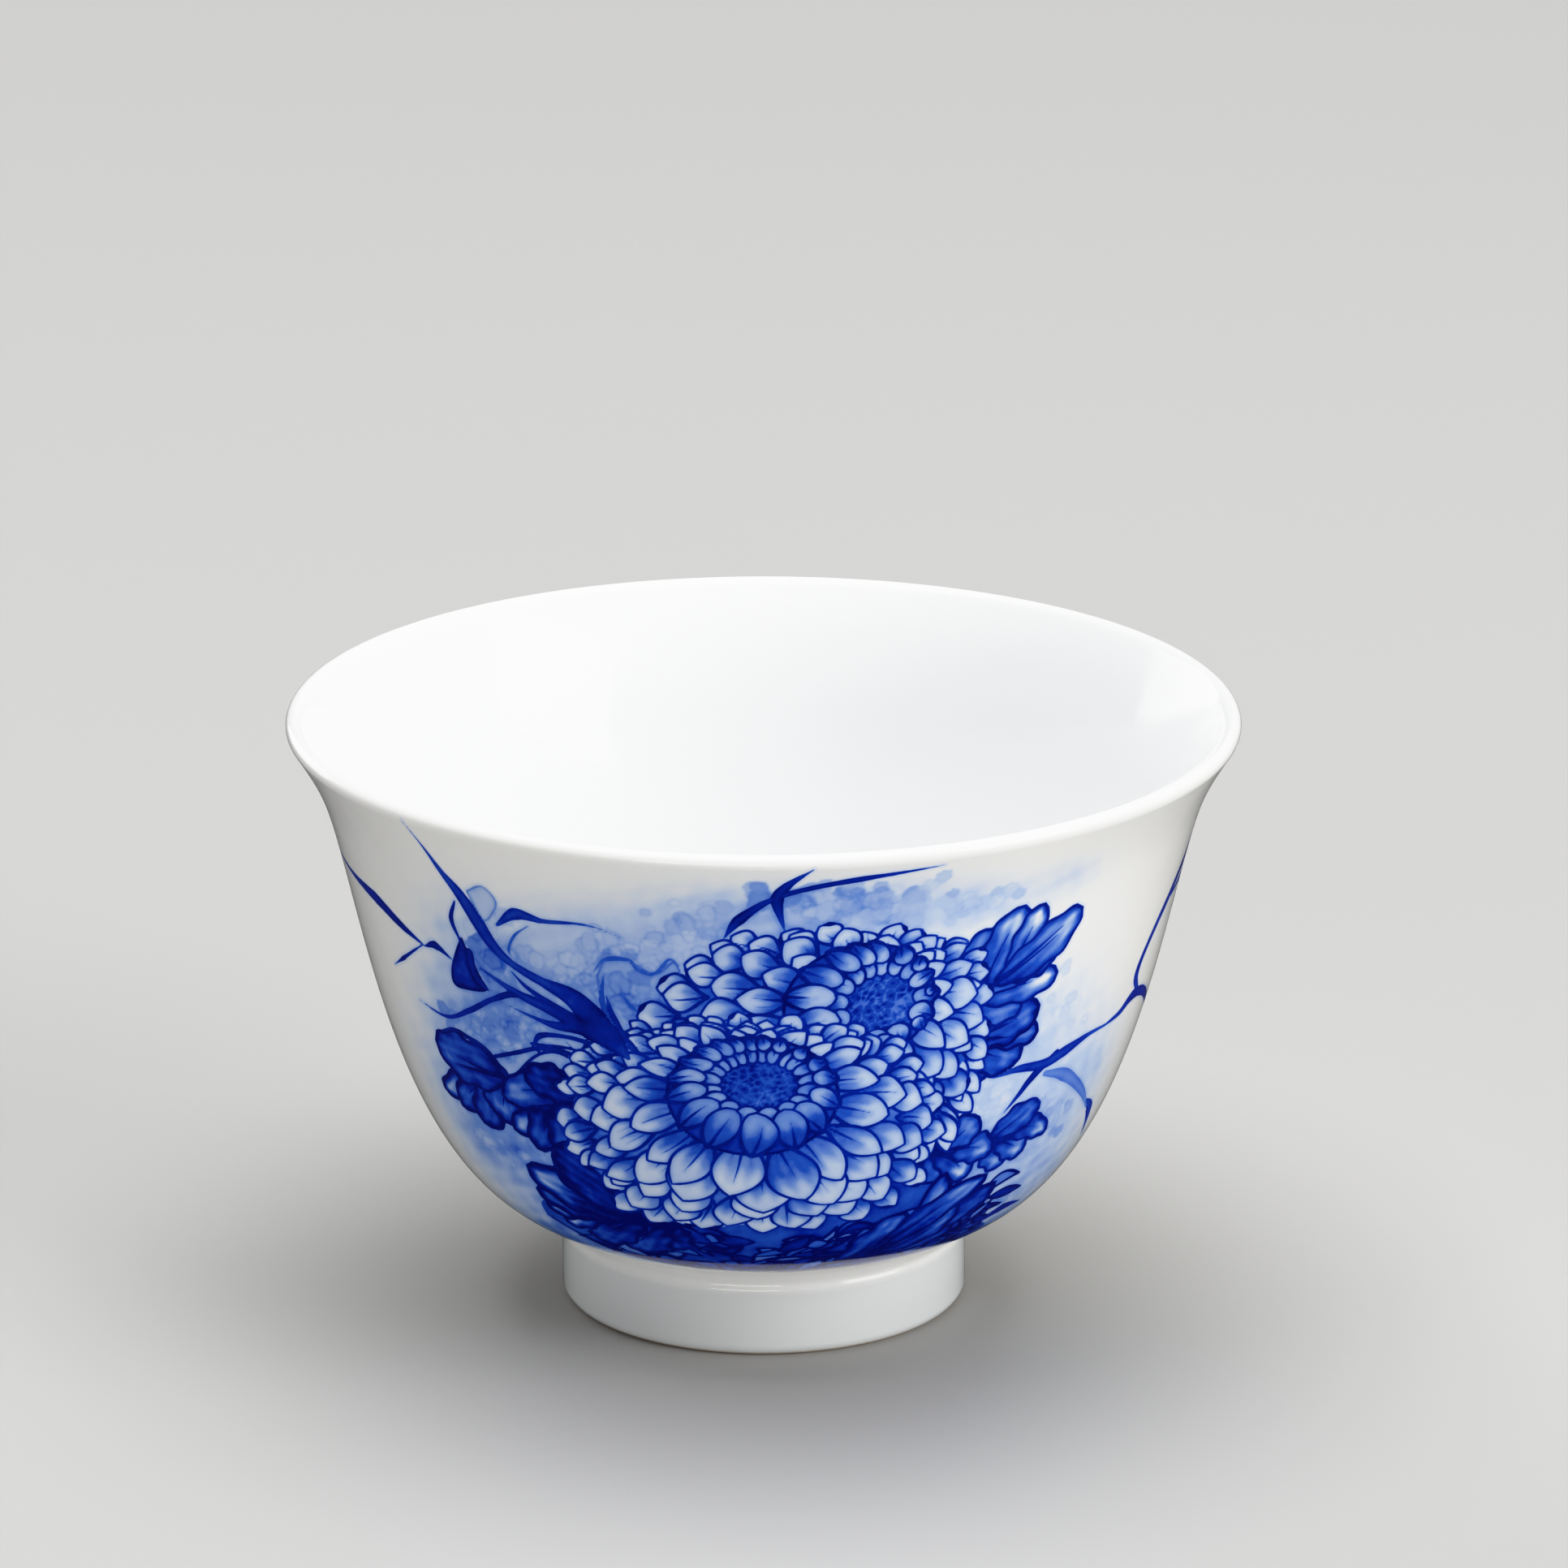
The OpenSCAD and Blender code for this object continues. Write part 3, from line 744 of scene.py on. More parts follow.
def outline(s):
    """The cup's outline as (radius, height) in metres, in runs that follow each other: out
    under the recess, round the foot, up the wall, over the lip, and down to the hollow's
    middle. The surface is always on a run's right."""
    lip = np.array([s.rim / 2 - s.lip, s.height - s.lip])
    neck = np.array([s.neck / 2, s.height - s.neck_drop])
    lip_low = lip + s.lip * ray(-s.lip_lean)
    pull = 0.33 * float(np.hypot(*(neck - lip_low)))
    reach = s.fillet / math.tan((math.pi / 2 + s.belly_rise) / 2)
    foot = s.foot / 2
    belly = np.array([foot, s.foot_corner]) + reach * ray(s.belly_rise)
    joint = s.foot_corner - reach
    rise = math.degrees(s.belly_rise)
    fillet = arc(np.array([foot + s.fillet, joint]), s.fillet, 180, 90 + rise)
    belly_curve = curve(belly, belly + s.belly * ray(s.belly_rise),
                        neck + s.shoulder * falling(s.neck_lean), neck, 500)
    neck_curve = curve(neck, neck - pull * falling(s.neck_lean),
                       lip_low + pull * falling(s.lip_lean), lip_low)
    lip_lean = math.degrees(s.lip_lean)
    wall = np.vstack([fillet, belly_curve[1:], neck_curve[1:], arc(lip, s.lip, -lip_lean, 90)[1:]])
    hollow_top = lip + s.lip * ray(math.pi - s.lip_lean)
    hollow_neck = np.array([s.hollow_neck / 2, s.height - s.hollow_drop])
    hollow = np.vstack([
        arc(lip, s.lip, 90, 180 - lip_lean),
        curve(hollow_top, hollow_top + s.hollow_lip * falling(s.lip_lean),
              hollow_neck - s.hollow_lip * falling(s.hollow_lean), hollow_neck)[1:],
        curve(hollow_neck, hollow_neck + s.hollow * falling(s.hollow_lean),
              np.array([s.floor_reach, s.floor]), np.array([0, s.floor]), 500)[1:]])
    bore = foot - s.ring
    stop = math.degrees(s.glaze_stop)
    outer_edge = np.array([foot - s.foot_edge, s.foot_edge])
    inner_edge = np.array([bore + s.ring_edge, s.ring_edge])
    recess = np.vstack([
        [[0, joint + s.recess]],
        arc(np.array([bore - s.recess, joint]), s.recess, 90, 0),
        arc(inner_edge, s.ring_edge, 180, 180 + stop)])
    bare = np.vstack([
        arc(inner_edge, s.ring_edge, 180 + stop, 270), arc(outer_edge, s.foot_edge, 270, 360 - stop)])
    foot_wall = np.vstack([arc(outer_edge, s.foot_edge, -stop, 0), [[foot, joint]]])
    return {"recess": recess, "bare": bare, "foot": foot_wall, "wall": wall, "hollow": hollow,
            "joint": joint, "fillet": float(travel(fillet)[-1])}


# ---------------------------------------------------------------- surfaces


def lay_mesh(name, points, quads, triangles=None, fields=None, *, material):
    """A mesh object from whole arrays of points and faces, smooth shaded, with a number at
    each point for every field."""
    faces = [quads] if triangles is None else [quads, triangles]
    corners = np.concatenate([f.ravel() for f in faces])
    sizes = np.concatenate([np.full(len(f), f.shape[1]) for f in faces])
    mesh = bpy.data.meshes.new(name)
    mesh.vertices.add(len(points))
    mesh.vertices.foreach_set("co", points.astype(np.float32).ravel())
    mesh.loops.add(len(corners))
    mesh.loops.foreach_set("vertex_index", corners.astype(np.int32))
    mesh.polygons.add(len(sizes))
    mesh.polygons.foreach_set("loop_start", (np.cumsum(sizes) - sizes).astype(np.int32))
    mesh.update(calc_edges=True)
    mesh.polygons.foreach_set("use_smooth", np.ones(len(sizes), bool))
    for field, values in (fields or {}).items():
        mesh.attributes.new(field, "FLOAT", "POINT").data.foreach_set(
            "value", values.astype(np.float32).ravel())
    if mesh.validate():
        raise RuntimeError(name + " has a broken face")
    piece = bpy.data.objects.new(name, mesh)
    bpy.context.scene.collection.objects.link(piece)
    mesh.materials.append(material)
    return piece


def turned(radius, height, turn):
    """Points turned about the upright axis: (r sin a, -r cos a, z), rows up the run and
    columns round the cup."""
    spread = np.ones_like(turn)
    return np.stack([radius[:, None] * np.sin(turn), -radius[:, None] * np.cos(turn),
                     height[:, None] * spread], axis=-1).reshape(-1, 3)


def net_quads(rows, columns, wraps):
    """The quads between the points of a grid, with the last column joined to the first where
    the grid wraps round."""
    row = np.arange(rows - 1)[:, None] * columns
    column = np.arange(columns if wraps else columns - 1)[None, :]
    beside = (column + 1) % columns
    return np.stack([row + column, row + beside, row + columns + beside, row + columns + column],
                    axis=-1).reshape(-1, 4)


def ring_piece(name, run, columns, material):
    """A run turned all the way round the upright axis. Where an end of the run is on the axis
    it becomes one point, joined to its row by triangles."""
    turn = np.arange(columns) * 2 * math.pi / columns
    starts, ends = run[0, 0] < 1e-9, run[-1, 0] < 1e-9
    body = run[1 if starts else 0: len(run) - 1 if ends else len(run)]
    points = [turned(body[:, 0], body[:, 1], turn)]
    quads = net_quads(len(body), columns, True)
    fans = []
    column = np.arange(columns)
    beside = (column + 1) % columns
    count = len(body) * columns
    for closed, end, row in ((starts, run[0], 0), (ends, run[-1], len(body) - 1)):
        if closed:
            points.append(np.array([[0, 0, end[1]]]))
            pole = np.full(columns, count)
            pair = (beside, column) if row == 0 else (column, beside)
            fans.append(np.column_stack([row * columns + pair[0], row * columns + pair[1], pole]))
            count += 1
    return lay_mesh(name, np.vstack(points), quads, np.vstack(fans) if fans else None,
                    material=material)


# ---------------------------------------------------------------- colours and materials


def tint(name, text, rgb):
    """A property for a colour."""
    return bpy.props.FloatVectorProperty(
        name=name, description=text, default=rgb, size=3, min=0.0, max=1.0, subtype="COLOR")


class CupColours(bpy.types.PropertyGroup):
    """The colours of the clay, the glaze and the cobalt."""

    white: tint("Porcelain", "White of the glazed porcelain", (0.81, 0.81, 0.80))
    # The hollow's white is a lighter copy of the porcelain's white: painted light, standing in for the
    # light that fills the hollow
    lit_hollow_white: tint("Hollow", "White of the hollow", (0.84, 0.847, 0.853))
    clay: tint("Bare clay", "Unglazed edge of the foot", (0.62, 0.57, 0.50))
    body_clay: tint("Body clay", "Clay under the glaze", (0.72, 0.70, 0.66))
    thin: tint("Thin wash", "Cobalt in a thin wash", (0.46, 0.57, 0.78))
    pale: tint("Pale wash", "Cobalt in a pale wash", (0.14, 0.27, 0.67))
    middle: tint("Middle blue", "Cobalt at half strength", (0.012, 0.08, 0.54))
    deep: tint("Deep blue", "Cobalt in a loaded stroke", (0.0, 0.014, 0.34))
    darkest: tint("Darkest blue", "Cobalt where the ink pools", (0.0, 0.002, 0.13))


def wet(colour):
    """A colour with nothing seen through it."""
    return (*colour, 1.0)


class Tree:
    """Short ways to add and join the nodes of a material or a node group."""

    def __init__(self, tree):
        self.tree = tree
        self.count = 0

    def feed(self, node, values):
        """Gives a node's inputs their values, each a number, a colour or the output it is
        joined to."""
        for key, value in values.items():
            if isinstance(value, bpy.types.NodeSocket):
                self.tree.links.new(value, node.inputs[key])
            else:
                node.inputs[key].default_value = value

    def add(self, kind, values=None, **settings):
        """A node with its settings and the values of its inputs."""
        node = self.tree.nodes.new("ShaderNode" + kind)
        for key, value in settings.items():
            setattr(node, key, value)
        self.feed(node, values or {})
        node.location = (220 * (self.count % 8), -260 * (self.count // 8))
        self.count += 1
        return node

    def place(self):
        """The place on the cup, in metres."""
        return self.add("TexCoord").outputs["Object"]

    def mark(self, name):
        """The number that the mesh holds under a name."""
        return self.add("Attribute", attribute_name=name).outputs["Fac"]

    def math(self, operation, a, b, clamp=False):
        """Two numbers added, subtracted or multiplied."""
        return self.add("Math", {0: a, 1: b}, operation=operation, use_clamp=clamp).outputs[0]

    def noise(self, place, scale, detail=2.0, rough=0.5):
        """Soft random patches, scale of them to the metre, with octaves of finer detail."""
        return self.add("TexNoise", {"Vector": place, "Scale": scale, "Detail": detail,
                                     "Roughness": rough}).outputs["Fac"]

    def smooth(self, value, low, high, to_low=0.0, to_high=1.0):
        """Smooth step from to_low at low to to_high at high."""
        return self.add("MapRange", {"Value": value, "From Min": low, "From Max": high,
                                     "To Min": to_low, "To Max": to_high},
                        interpolation_type="SMOOTHSTEP").outputs["Result"]

    def mix(self, share, a, b):
        """Colour a, with a share of colour b in it."""
        return self.add("Mix", {0: share, 6: a, 7: b}, data_type="RGBA").outputs[2]

    def group(self, tree, values):
        """A node that stands for a group, with values for its inputs."""
        node = self.tree.nodes.new("ShaderNodeGroup")
        node.node_tree = tree
        self.feed(node, values)
        return node.outputs


def new_group(name, inputs, outputs):
    """A node group with number inputs, as (name, default), and outputs, as (name, kind).
    Gives its tree and the nodes that stand for its inputs and its outputs."""
    tree = bpy.data.node_groups.new(name, "ShaderNodeTree")
    for label, default in inputs:
        tree.interface.new_socket(
            label, in_out="INPUT", socket_type="NodeSocketFloat").default_value = default
    for label, kind in outputs:
        tree.interface.new_socket(label, in_out="OUTPUT", socket_type="NodeSocket" + kind)
    return Tree(tree), tree.nodes.new("NodeGroupInput"), tree.nodes.new("NodeGroupOutput")


def glaze_skin_group():
    """The melted surface of a glaze: slow ripples and a fine orange-peel, as a normal, with a roughness
    that drifts a little and specks of iron as a mask."""
    t, given, result = new_group(
        "Glaze skin", [("Ripple", 0.05), ("Gloss", 0.06)],
        [("Normal", "Vector"), ("Roughness", "Float"), ("Specks", "Float")])
    place = t.place()
    slow = t.noise(place, 160, 1.0)
    fine = t.noise(place, 1100, 2.0)
    height = t.math("ADD", slow, t.math("MULTIPLY", fine, 0.05))
    bump = t.add("Bump", {"Strength": given.outputs["Ripple"], "Distance": 0.001, "Height": height})
    drift = t.math("MULTIPLY", t.noise(place, 240, 3.0), 0.05)
    cells = t.add("TexVoronoi", {"Vector": place, "Scale": 210.0, "Randomness": 1.0})
    dot = t.smooth(cells.outputs["Distance"], 0.035, 0.015)
    chosen = t.smooth(t.noise(place, 95, 1.0), 0.60, 0.66)
    t.feed(result, {"Normal": bump.outputs["Normal"],
                    "Roughness": t.math("ADD", given.outputs["Gloss"], drift),
                    "Specks": t.math("MULTIPLY", dot, chosen)})
    return t.tree


def cobalt_group(colours):
    """Cobalt on porcelain: the strength of the pigment, from 0 to 1, goes through the steps
    from white to the darkest blue, a little uneven as ground pigment is."""
    t, given, result = new_group("Cobalt", [("Strength", 0.0)], [("Color", "Color")])
    place = t.place()
    grain = t.math("SUBTRACT", t.noise(place, 1500, 3.0, 0.6), 0.5)
    cloud = t.math("SUBTRACT", t.noise(place, 420, 3.0), 0.5)
    unevenness = t.math("ADD", t.math("MULTIPLY", grain, 0.16), t.math("MULTIPLY", cloud, 0.36))
    swing = t.math("ADD", t.math("MULTIPLY", unevenness, given.outputs["Strength"]),
                   given.outputs["Strength"], clamp=True)
    steps = ((0.0, colours.white), (0.12, colours.thin), (0.32, colours.pale),
             (0.56, colours.middle), (0.80, colours.deep), (1.0, colours.darkest))
    ramp = t.add("ValToRGB", {"Fac": swing})
    marks = ramp.color_ramp.elements
    for share, _ in steps[1:-1]:
        marks.new(share)
    for mark, (_, colour) in zip(marks, steps):
        mark.color = wet(colour)
    t.feed(result, {"Color": ramp.outputs["Color"]})
    return t.tree


# How glass bends light, and how much of its mirror the glaze keeps, 0.5 being all of it
GLASS_IOR, GLAZE_MIRROR = 1.5, 0.30
# Iron in the glaze, and the share of it that a speck shows
IRON, IRON_SHARE = (0.25, 0.2, 0.16, 1), 0.35


def finished(name, roughness=0.08):
    """A new material with one principled shader, and the tree that it is built in."""
    material = bpy.data.materials.new(name)
    material.use_nodes = True
    material.node_tree.nodes.clear()
    t = Tree(material.node_tree)
    shader = t.add("BsdfPrincipled", {"Roughness": roughness, "IOR": GLASS_IOR,
                                      "Specular IOR Level": GLAZE_MIRROR})
    t.add("OutputMaterial", {"Surface": shader.outputs["BSDF"]})
    return material, t, shader


def glazed(t, shader, groups, colour, ripple, gloss):
    """Gives a shader its colour under the glaze, with iron specks, and the glaze's skin."""
    skin = t.group(groups["skin"], {"Ripple": ripple, "Gloss": gloss})
    speckled = t.mix(t.math("MULTIPLY", skin["Specks"], IRON_SHARE), colour, IRON)
    t.feed(shader, {"Base Color": speckled, "Normal": skin["Normal"], "Roughness": skin["Roughness"]})


def painted_porcelain(groups):
    """The painted wall. Ink shows where the distance to its edge is below nothing, with an
    edge that wavers as a brush's does, and gathers at its edges as it dries. Elsewhere the
    wash shows."""
    material, t, shader = finished("Painted porcelain")
    place = t.place()
    edge, tone, wash = t.mark("ink_edge"), t.mark("ink_tone"), t.mark("wash")
    waver = t.math("MULTIPLY", t.math("SUBTRACT", t.noise(place, 900, 2.0), 0.5), 0.09)
    edge = t.math("ADD", edge, waver)
    inked = t.smooth(edge, 0.05, -0.06)
    pooled = t.smooth(edge, -0.55, -0.08, 0.0, 0.07)
    ink = t.math("ADD", tone, pooled)
    bloom = t.math("ADD", t.math("MULTIPLY", t.noise(place, 260, 4.0, 0.6), 0.9), 0.55)
    bled = t.math("MULTIPLY", t.smooth(edge, 0.45, 0.0), 0.06)
    water = t.math("ADD", t.math("MULTIPLY", wash, bloom), bled)
    strength = t.add("Mix", {0: inked, 2: water, 3: ink}, data_type="FLOAT").outputs[0]
    colour = t.group(groups["cobalt"], {"Strength": strength})["Color"]
    glazed(t, shader, groups, colour, 0.05, 0.06)
    return material


def pooled_and_shaded_white(name, groups, colour, shade, low, high, gloss=0.06):
    """White porcelain that darkens a little where its height is between low and high: partly glaze pooled
    low in the cup's hollows and creases, partly painted shade there."""
    material, t, shader = finished(name)
    place = t.place()
    height = t.add("SeparateXYZ", {"Vector": place}).outputs["Z"]
    wavy = t.math("ADD", height, t.math("MULTIPLY", t.noise(place, 300, 2.0), 0.0004))
    # partly pooled glaze, partly painted shade: darker towards the shade colour between the two heights
    pool = t.smooth(wavy, high, low)
    mottled = t.mix(t.math("MULTIPLY", t.noise(place, 120, 4.0), 0.10), wet(colour), wet(shade))
    body = t.mix(t.math("MULTIPLY", pool, 0.5), mottled, wet(shade))
    glazed(t, shader, groups, body, 0.05, gloss)
    return material


def biscuit(name, colour, dark, grain):
    """Bare fired clay: a fine gritty grain in its colour and its height."""
    material, t, shader = finished(name, roughness=0.75)
    place = t.place()
    grit = t.noise(place, grain, 5.0, 0.65)
    fleck = t.smooth(t.noise(place, grain * 0.31, 2.0), 0.62, 0.72)
    body = t.mix(grit, wet(colour), wet(dark))
    flecked = t.mix(t.math("MULTIPLY", fleck, 0.4), body, wet(dark))
    bump = t.add("Bump", {"Strength": 0.4, "Distance": 0.1 * MM, "Height": grit})
    t.feed(shader, {"Base Color": flecked, "Normal": bump.outputs["Normal"]})
    return material


def cup_materials():
    """Every finish of the cup by its name, made once."""
    if "Painted porcelain" in bpy.data.materials:
        return {m.name: m for m in bpy.data.materials}
    colours = bpy.context.scene.cup_colours
    groups = {"skin": glaze_skin_group(), "cobalt": cobalt_group(colours)}
    painted_porcelain(groups)
    # Each darkens towards its shade colour between the two heights given, partly pooled glaze and partly
    # painted shade, at the hollow's floor, the crease above the foot and the recess's top corner
    pooled_and_shaded_white("Glazed hollow", groups, colours.lit_hollow_white, (0.70, 0.75, 0.78), 0.010, 0.0135, 0.10)
    pooled_and_shaded_white("Glazed foot", groups, colours.white, (0.56, 0.60, 0.63), 0.0058, 0.0067)
    pooled_and_shaded_white("Glazed recess", groups, colours.white, (0.60, 0.65, 0.68), 0.0068, 0.0079)
    biscuit("Bare foot clay", colours.clay, (0.50, 0.42, 0.33), 2600)
    biscuit("Body clay", colours.body_clay, (0.60, 0.57, 0.52), 1800)
    return {m.name: m for m in bpy.data.materials}


# ---------------------------------------------------------------- the pieces, as operators


def cup_sizes():
    """The sizes that the panel shows."""
    return bpy.context.scene.cup_sizes


def stands_for(piece, slot, *nodes):
    """A skin of the cup rides on its one body, and the CAD nodes that it stands for are hidden."""
    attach(piece, "root")
    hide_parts(*nodes)


def wall_columns(widest):
    """Turns round the cup, in degrees, close together at the painted front, less so at its
    sides and least at its back."""
    around = math.radians(1) * widest / MM
    turns = [np.array([-180.0])]
    for start, end, step in ((-180, -SIDE, BACK_CELL), (-SIDE, -FRONT, SIDE_CELL),
                             (-FRONT, FRONT, CELL), (FRONT, SIDE, SIDE_CELL), (SIDE, 180, BACK_CELL)):
        count = int(round((end - start) * around / step))
        turns.append(np.linspace(start, end, count + 1)[1:])
    return np.concatenate(turns)


# Turns where the painted wall's skins meet, in degrees, the climb where the front's two skins
# meet, and the sizes of their cells, in mm
FRONT, SIDE, SEAM_CLIMB = 57, 123, 25.2
CELL, SIDE_CELL, BACK_CELL = 0.15, 0.2, 0.45
# The belly's width as a share of the lip's, where a cell round the cup has its own size
BELLY_SHARE = 0.93
# How far the crease between the wall and the foot spreads on each of them, in mm
WALL_CREASE, FOOT_CREASE = 0.45, 0.3
# Steps round the cup, steps along the foot's runs, and steps along the recess and the hollow
ROUND, RECESS_ROUND = 480, 360
FOOT_STEP, RECESS_STEP, HOLLOW_STEP = 0.1 * MM, 0.2 * MM, 0.5 * MM


class BuildPaintedWall(bpy.types.Operator):
    """Build the painted wall, from the foot's fillet over the lip, in five skins edge to edge"""

    bl_idname = "tea_cup.painted_wall"
    bl_label = "Painted wall"

    def execute(self, context):
        s = cup_sizes()
        runs = outline(s)
        run = even(runs["wall"], CELL * MM)
        way = travel(run)
        run[:, 0] -= s.crease * np.exp(-(way / (WALL_CREASE * MM)) ** 2)
        climb = (way - runs["fillet"]) / MM
        turns = wall_columns(float(run[:, 0].max()) * BELLY_SHARE)
        canvas = Canvas(np.radians(turns), climb, run[:, 0] / MM, seed=7)
        paint_cup(canvas)
        a, b, c, d = (int(np.argmin(np.abs(turns - turn))) for turn in (-SIDE, -FRONT, FRONT, SIDE))
        seam = int(np.argmin(np.abs(climb - SEAM_CLIMB)))
        every, whole = np.arange(len(turns)), slice(0, len(climb))
        skins = (("front_lower", slice(0, seam + 1), every[b:c + 1]),
                 ("front_upper", slice(seam, len(climb)), every[b:c + 1]),
                 ("left", whole, every[a:b + 1]),
                 ("right", whole, every[c:d + 1]),
                 ("back", whole, np.concatenate([every[d:], every[1:a + 1]])))
        material = cup_materials()["Painted porcelain"]
        painting = {"ink_edge": canvas.line, "ink_tone": canvas.tone, "wash": canvas.wash}
        for side, rows, columns in skins:
            part = run[rows]
            piece = lay_mesh("painted_wall_" + side, turned(*part.T, canvas.turn[columns]),
                             net_quads(len(part), len(columns), False),
                             fields={key: held[rows][:, columns] for key, held in painting.items()},
                             material=material)
            stands_for(piece, "cobalt_blue", "outer_glaze", "cobalt_painting")
        return {"FINISHED"}


class BuildHollow(bpy.types.Operator):
    """Build the glazed hollow, from the lip's top down to the middle of its floor"""

    bl_idname = "tea_cup.hollow"
    bl_label = "Glazed hollow"

    def execute(self, context):
        run = even(outline(cup_sizes())["hollow"], HOLLOW_STEP)
        piece = ring_piece("glazed_hollow", run, ROUND, cup_materials()["Glazed hollow"])
        stands_for(piece, "clear_glaze", "inner_glaze")
        return {"FINISHED"}


class BuildFoot(bpy.types.Operator):
    """Build the foot: its glazed wall, its bare lower edge and the glazed recess inside it"""

    bl_idname = "tea_cup.foot"
    bl_label = "Foot"

    def execute(self, context):
        s = cup_sizes()
        runs = outline(s)
        finishes = cup_materials()
        foot = even(runs["foot"], FOOT_STEP)
        foot[:, 0] -= s.crease * np.exp(-((runs["joint"] - foot[:, 1]) / (FOOT_CREASE * MM)) ** 2)
        bare = even(runs["bare"], FOOT_STEP)
        recess = even(runs["recess"], RECESS_STEP)
        for name, run, columns, finish, slot, node in (
                ("glazed_foot_wall", foot, ROUND, "Glazed foot", "clear_glaze", "foot_glaze"),
                ("bare_foot_edge", bare, ROUND, "Bare foot clay", "porcelain_body", "foot_ring"),
                ("glazed_recess", recess, RECESS_ROUND, "Glazed recess", "clear_glaze", "base_glaze")):
            stands_for(ring_piece(name, run, columns, finishes[finish]), slot, node)
        return {"FINISHED"}


class FinishBowl(bpy.types.Operator):
    """Give the clay bowl under the glaze its finish"""

    bl_idname = "tea_cup.bowl"
    bl_label = "Clay bowl"

    def execute(self, context):
        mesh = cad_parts["bowl"].data
        mesh.materials.clear()
        mesh.materials.append(cup_materials()["Body clay"])
        return {"FINISHED"}


# ---------------------------------------------------------------- the stage


class StageSettings(bpy.types.PropertyGroup):
    """The floor, the lights and the camera."""

    floor: tint("Floor", "Colour of the pale floor", (0.40, 0.396, 0.388))
    backdrop: tint("Backdrop", "Colour of the backdrop behind the floor", (0.60, 0.597, 0.59))
    room: tint("Room", "Colour of the light from all round", (1.0, 0.98, 0.95))
    room_light: bpy.props.FloatProperty(
        name="Room light", description="Strength of the light from all round", default=0.16, min=0)
    camera_reach: length("Camera reach", "Distance of the camera in front of the cup", 793.7)
    camera_height: length("Camera height", "Height of the camera above the table", 300.2)
    aim_height: length("Aim height", "Height of the place that the camera looks at", 47.1)
    aim_side: length("Aim side", "How far to the right the camera looks", 1.8)
    field: bpy.props.FloatProperty(
        name="Field of view", description="Angle that the camera takes in",
        default=math.radians(9.484), subtype="ANGLE")


# The soft lights: each one's place, the height over the table's middle that it faces, its
# sides, its watts and its colour
LIGHTS = {
    "Key light": ((1.5, -0.75, 0.75), 0.03, (1.1, 1.1), 24, (1.0, 0.99, 0.97)),
    "Top light": ((0.0, 0.1, 1.7), 0.03, (1.7, 1.7), 49, (0.98, 0.99, 1.0)),
    "Low light": ((-0.25, -1.3, 0.06), 0.0, (0.9, 0.12), 4.6, (1.0, 0.99, 0.97)),
    "Back light": ((-1.1, 1.3, 0.45), 0.03, (1.0, 0.8), 9, (0.99, 0.99, 1.0)),
}
# Where the floor starts to turn into the backdrop, where it has done so, and where it ends
NEAR, FAR_OFF, FLOOR_END = 0.35, 1.1, 9.0
# What the cup mirrors of the floor
DARK_FLOOR = (0.02, 0.02, 0.02, 1)
# Light that shows as white, and for light below it what is shown
WHITE = 2.4
SHOWN = ((0.22, 0.22), (0.44, 0.44), (0.66, 0.66), (0.9, 0.85), (1.2, 0.945), (1.7, 0.985))


def soft_light(name, place, height, size, power, colour):
    """A rectangle of soft light at place, turned to face a height over the table's middle."""
    lamp = bpy.data.lights.new(name, "AREA")
    lamp.shape = "RECTANGLE"
    lamp.size, lamp.size_y = size
    lamp.energy = power
    lamp.color = colour
    holder = bpy.data.objects.new(name, lamp)
    bpy.context.scene.collection.objects.link(holder)
    holder.location = place
    facing = Vector((0, 0, height)) - Vector(place)
    holder.rotation_euler = facing.to_track_quat("-Z", "Y").to_euler()


def matt_floor(t, shader, stage):
    """Ends the floor's tree. Far off the floor turns into the backdrop's own even tone, so no
    horizon shows, and what the cup mirrors of it is dark, as with a filter on the lights."""
    seen = t.add("LightPath")
    place = t.place()
    reach = t.add("VectorMath", {"Vector": place}, operation="LENGTH").outputs["Value"]
    far = t.math("MULTIPLY", t.smooth(reach, NEAR, FAR_OFF), seen.outputs["Is Camera Ray"])
    haze = t.add("Emission", {"Color": wet(stage.backdrop), "Strength": 1.0})
    dark = t.add("BsdfDiffuse", {"Color": DARK_FLOOR})
    near = t.add("MixShader", {0: seen.outputs["Is Glossy Ray"], 1: shader.outputs["BSDF"],
                               2: dark.outputs["BSDF"]})
    whole = t.add("MixShader", {0: far, 1: near.outputs["Shader"], 2: haze.outputs["Emission"]})
    last = next(node for node in t.tree.nodes if node.type == "OUTPUT_MATERIAL")
    t.feed(last, {"Surface": whole.outputs["Shader"]})


def light_room(scene, stage):
    """The room: a pale backdrop where it is seen, and a weaker even light on the cup."""
    world = scene.world or bpy.data.worlds.new("Room")
    scene.world = world
    world.use_nodes = True
    room = Tree(world.node_tree)
    world.node_tree.nodes.clear()
    seen = room.add("LightPath").outputs["Is Camera Ray"]
    even = room.add("Background", {"Color": wet(stage.room), "Strength": stage.room_light})
    pale = room.add("Background", {"Color": wet(stage.backdrop), "Strength": 1.0})
    both = room.add("MixShader", {0: seen, 1: even.outputs["Background"], 2: pale.outputs["Background"]})
    room.add("OutputWorld", {"Surface": both.outputs["Shader"]})


def soft_highlights(view):
    """Keeps middling light as it is and rolls brighter light off to white, so that the white
    glaze keeps its form inside the hollow."""
    view.use_curve_mapping = True
    mapping = view.curve_mapping
    mapping.white_level = (WHITE, WHITE, WHITE)
    line = mapping.curves[3]
    for light, shown in SHOWN:
        line.points.new(light / WHITE, shown)
    for point in line.points:
        point.handle_type = "AUTO_CLAMPED"
    mapping.update()


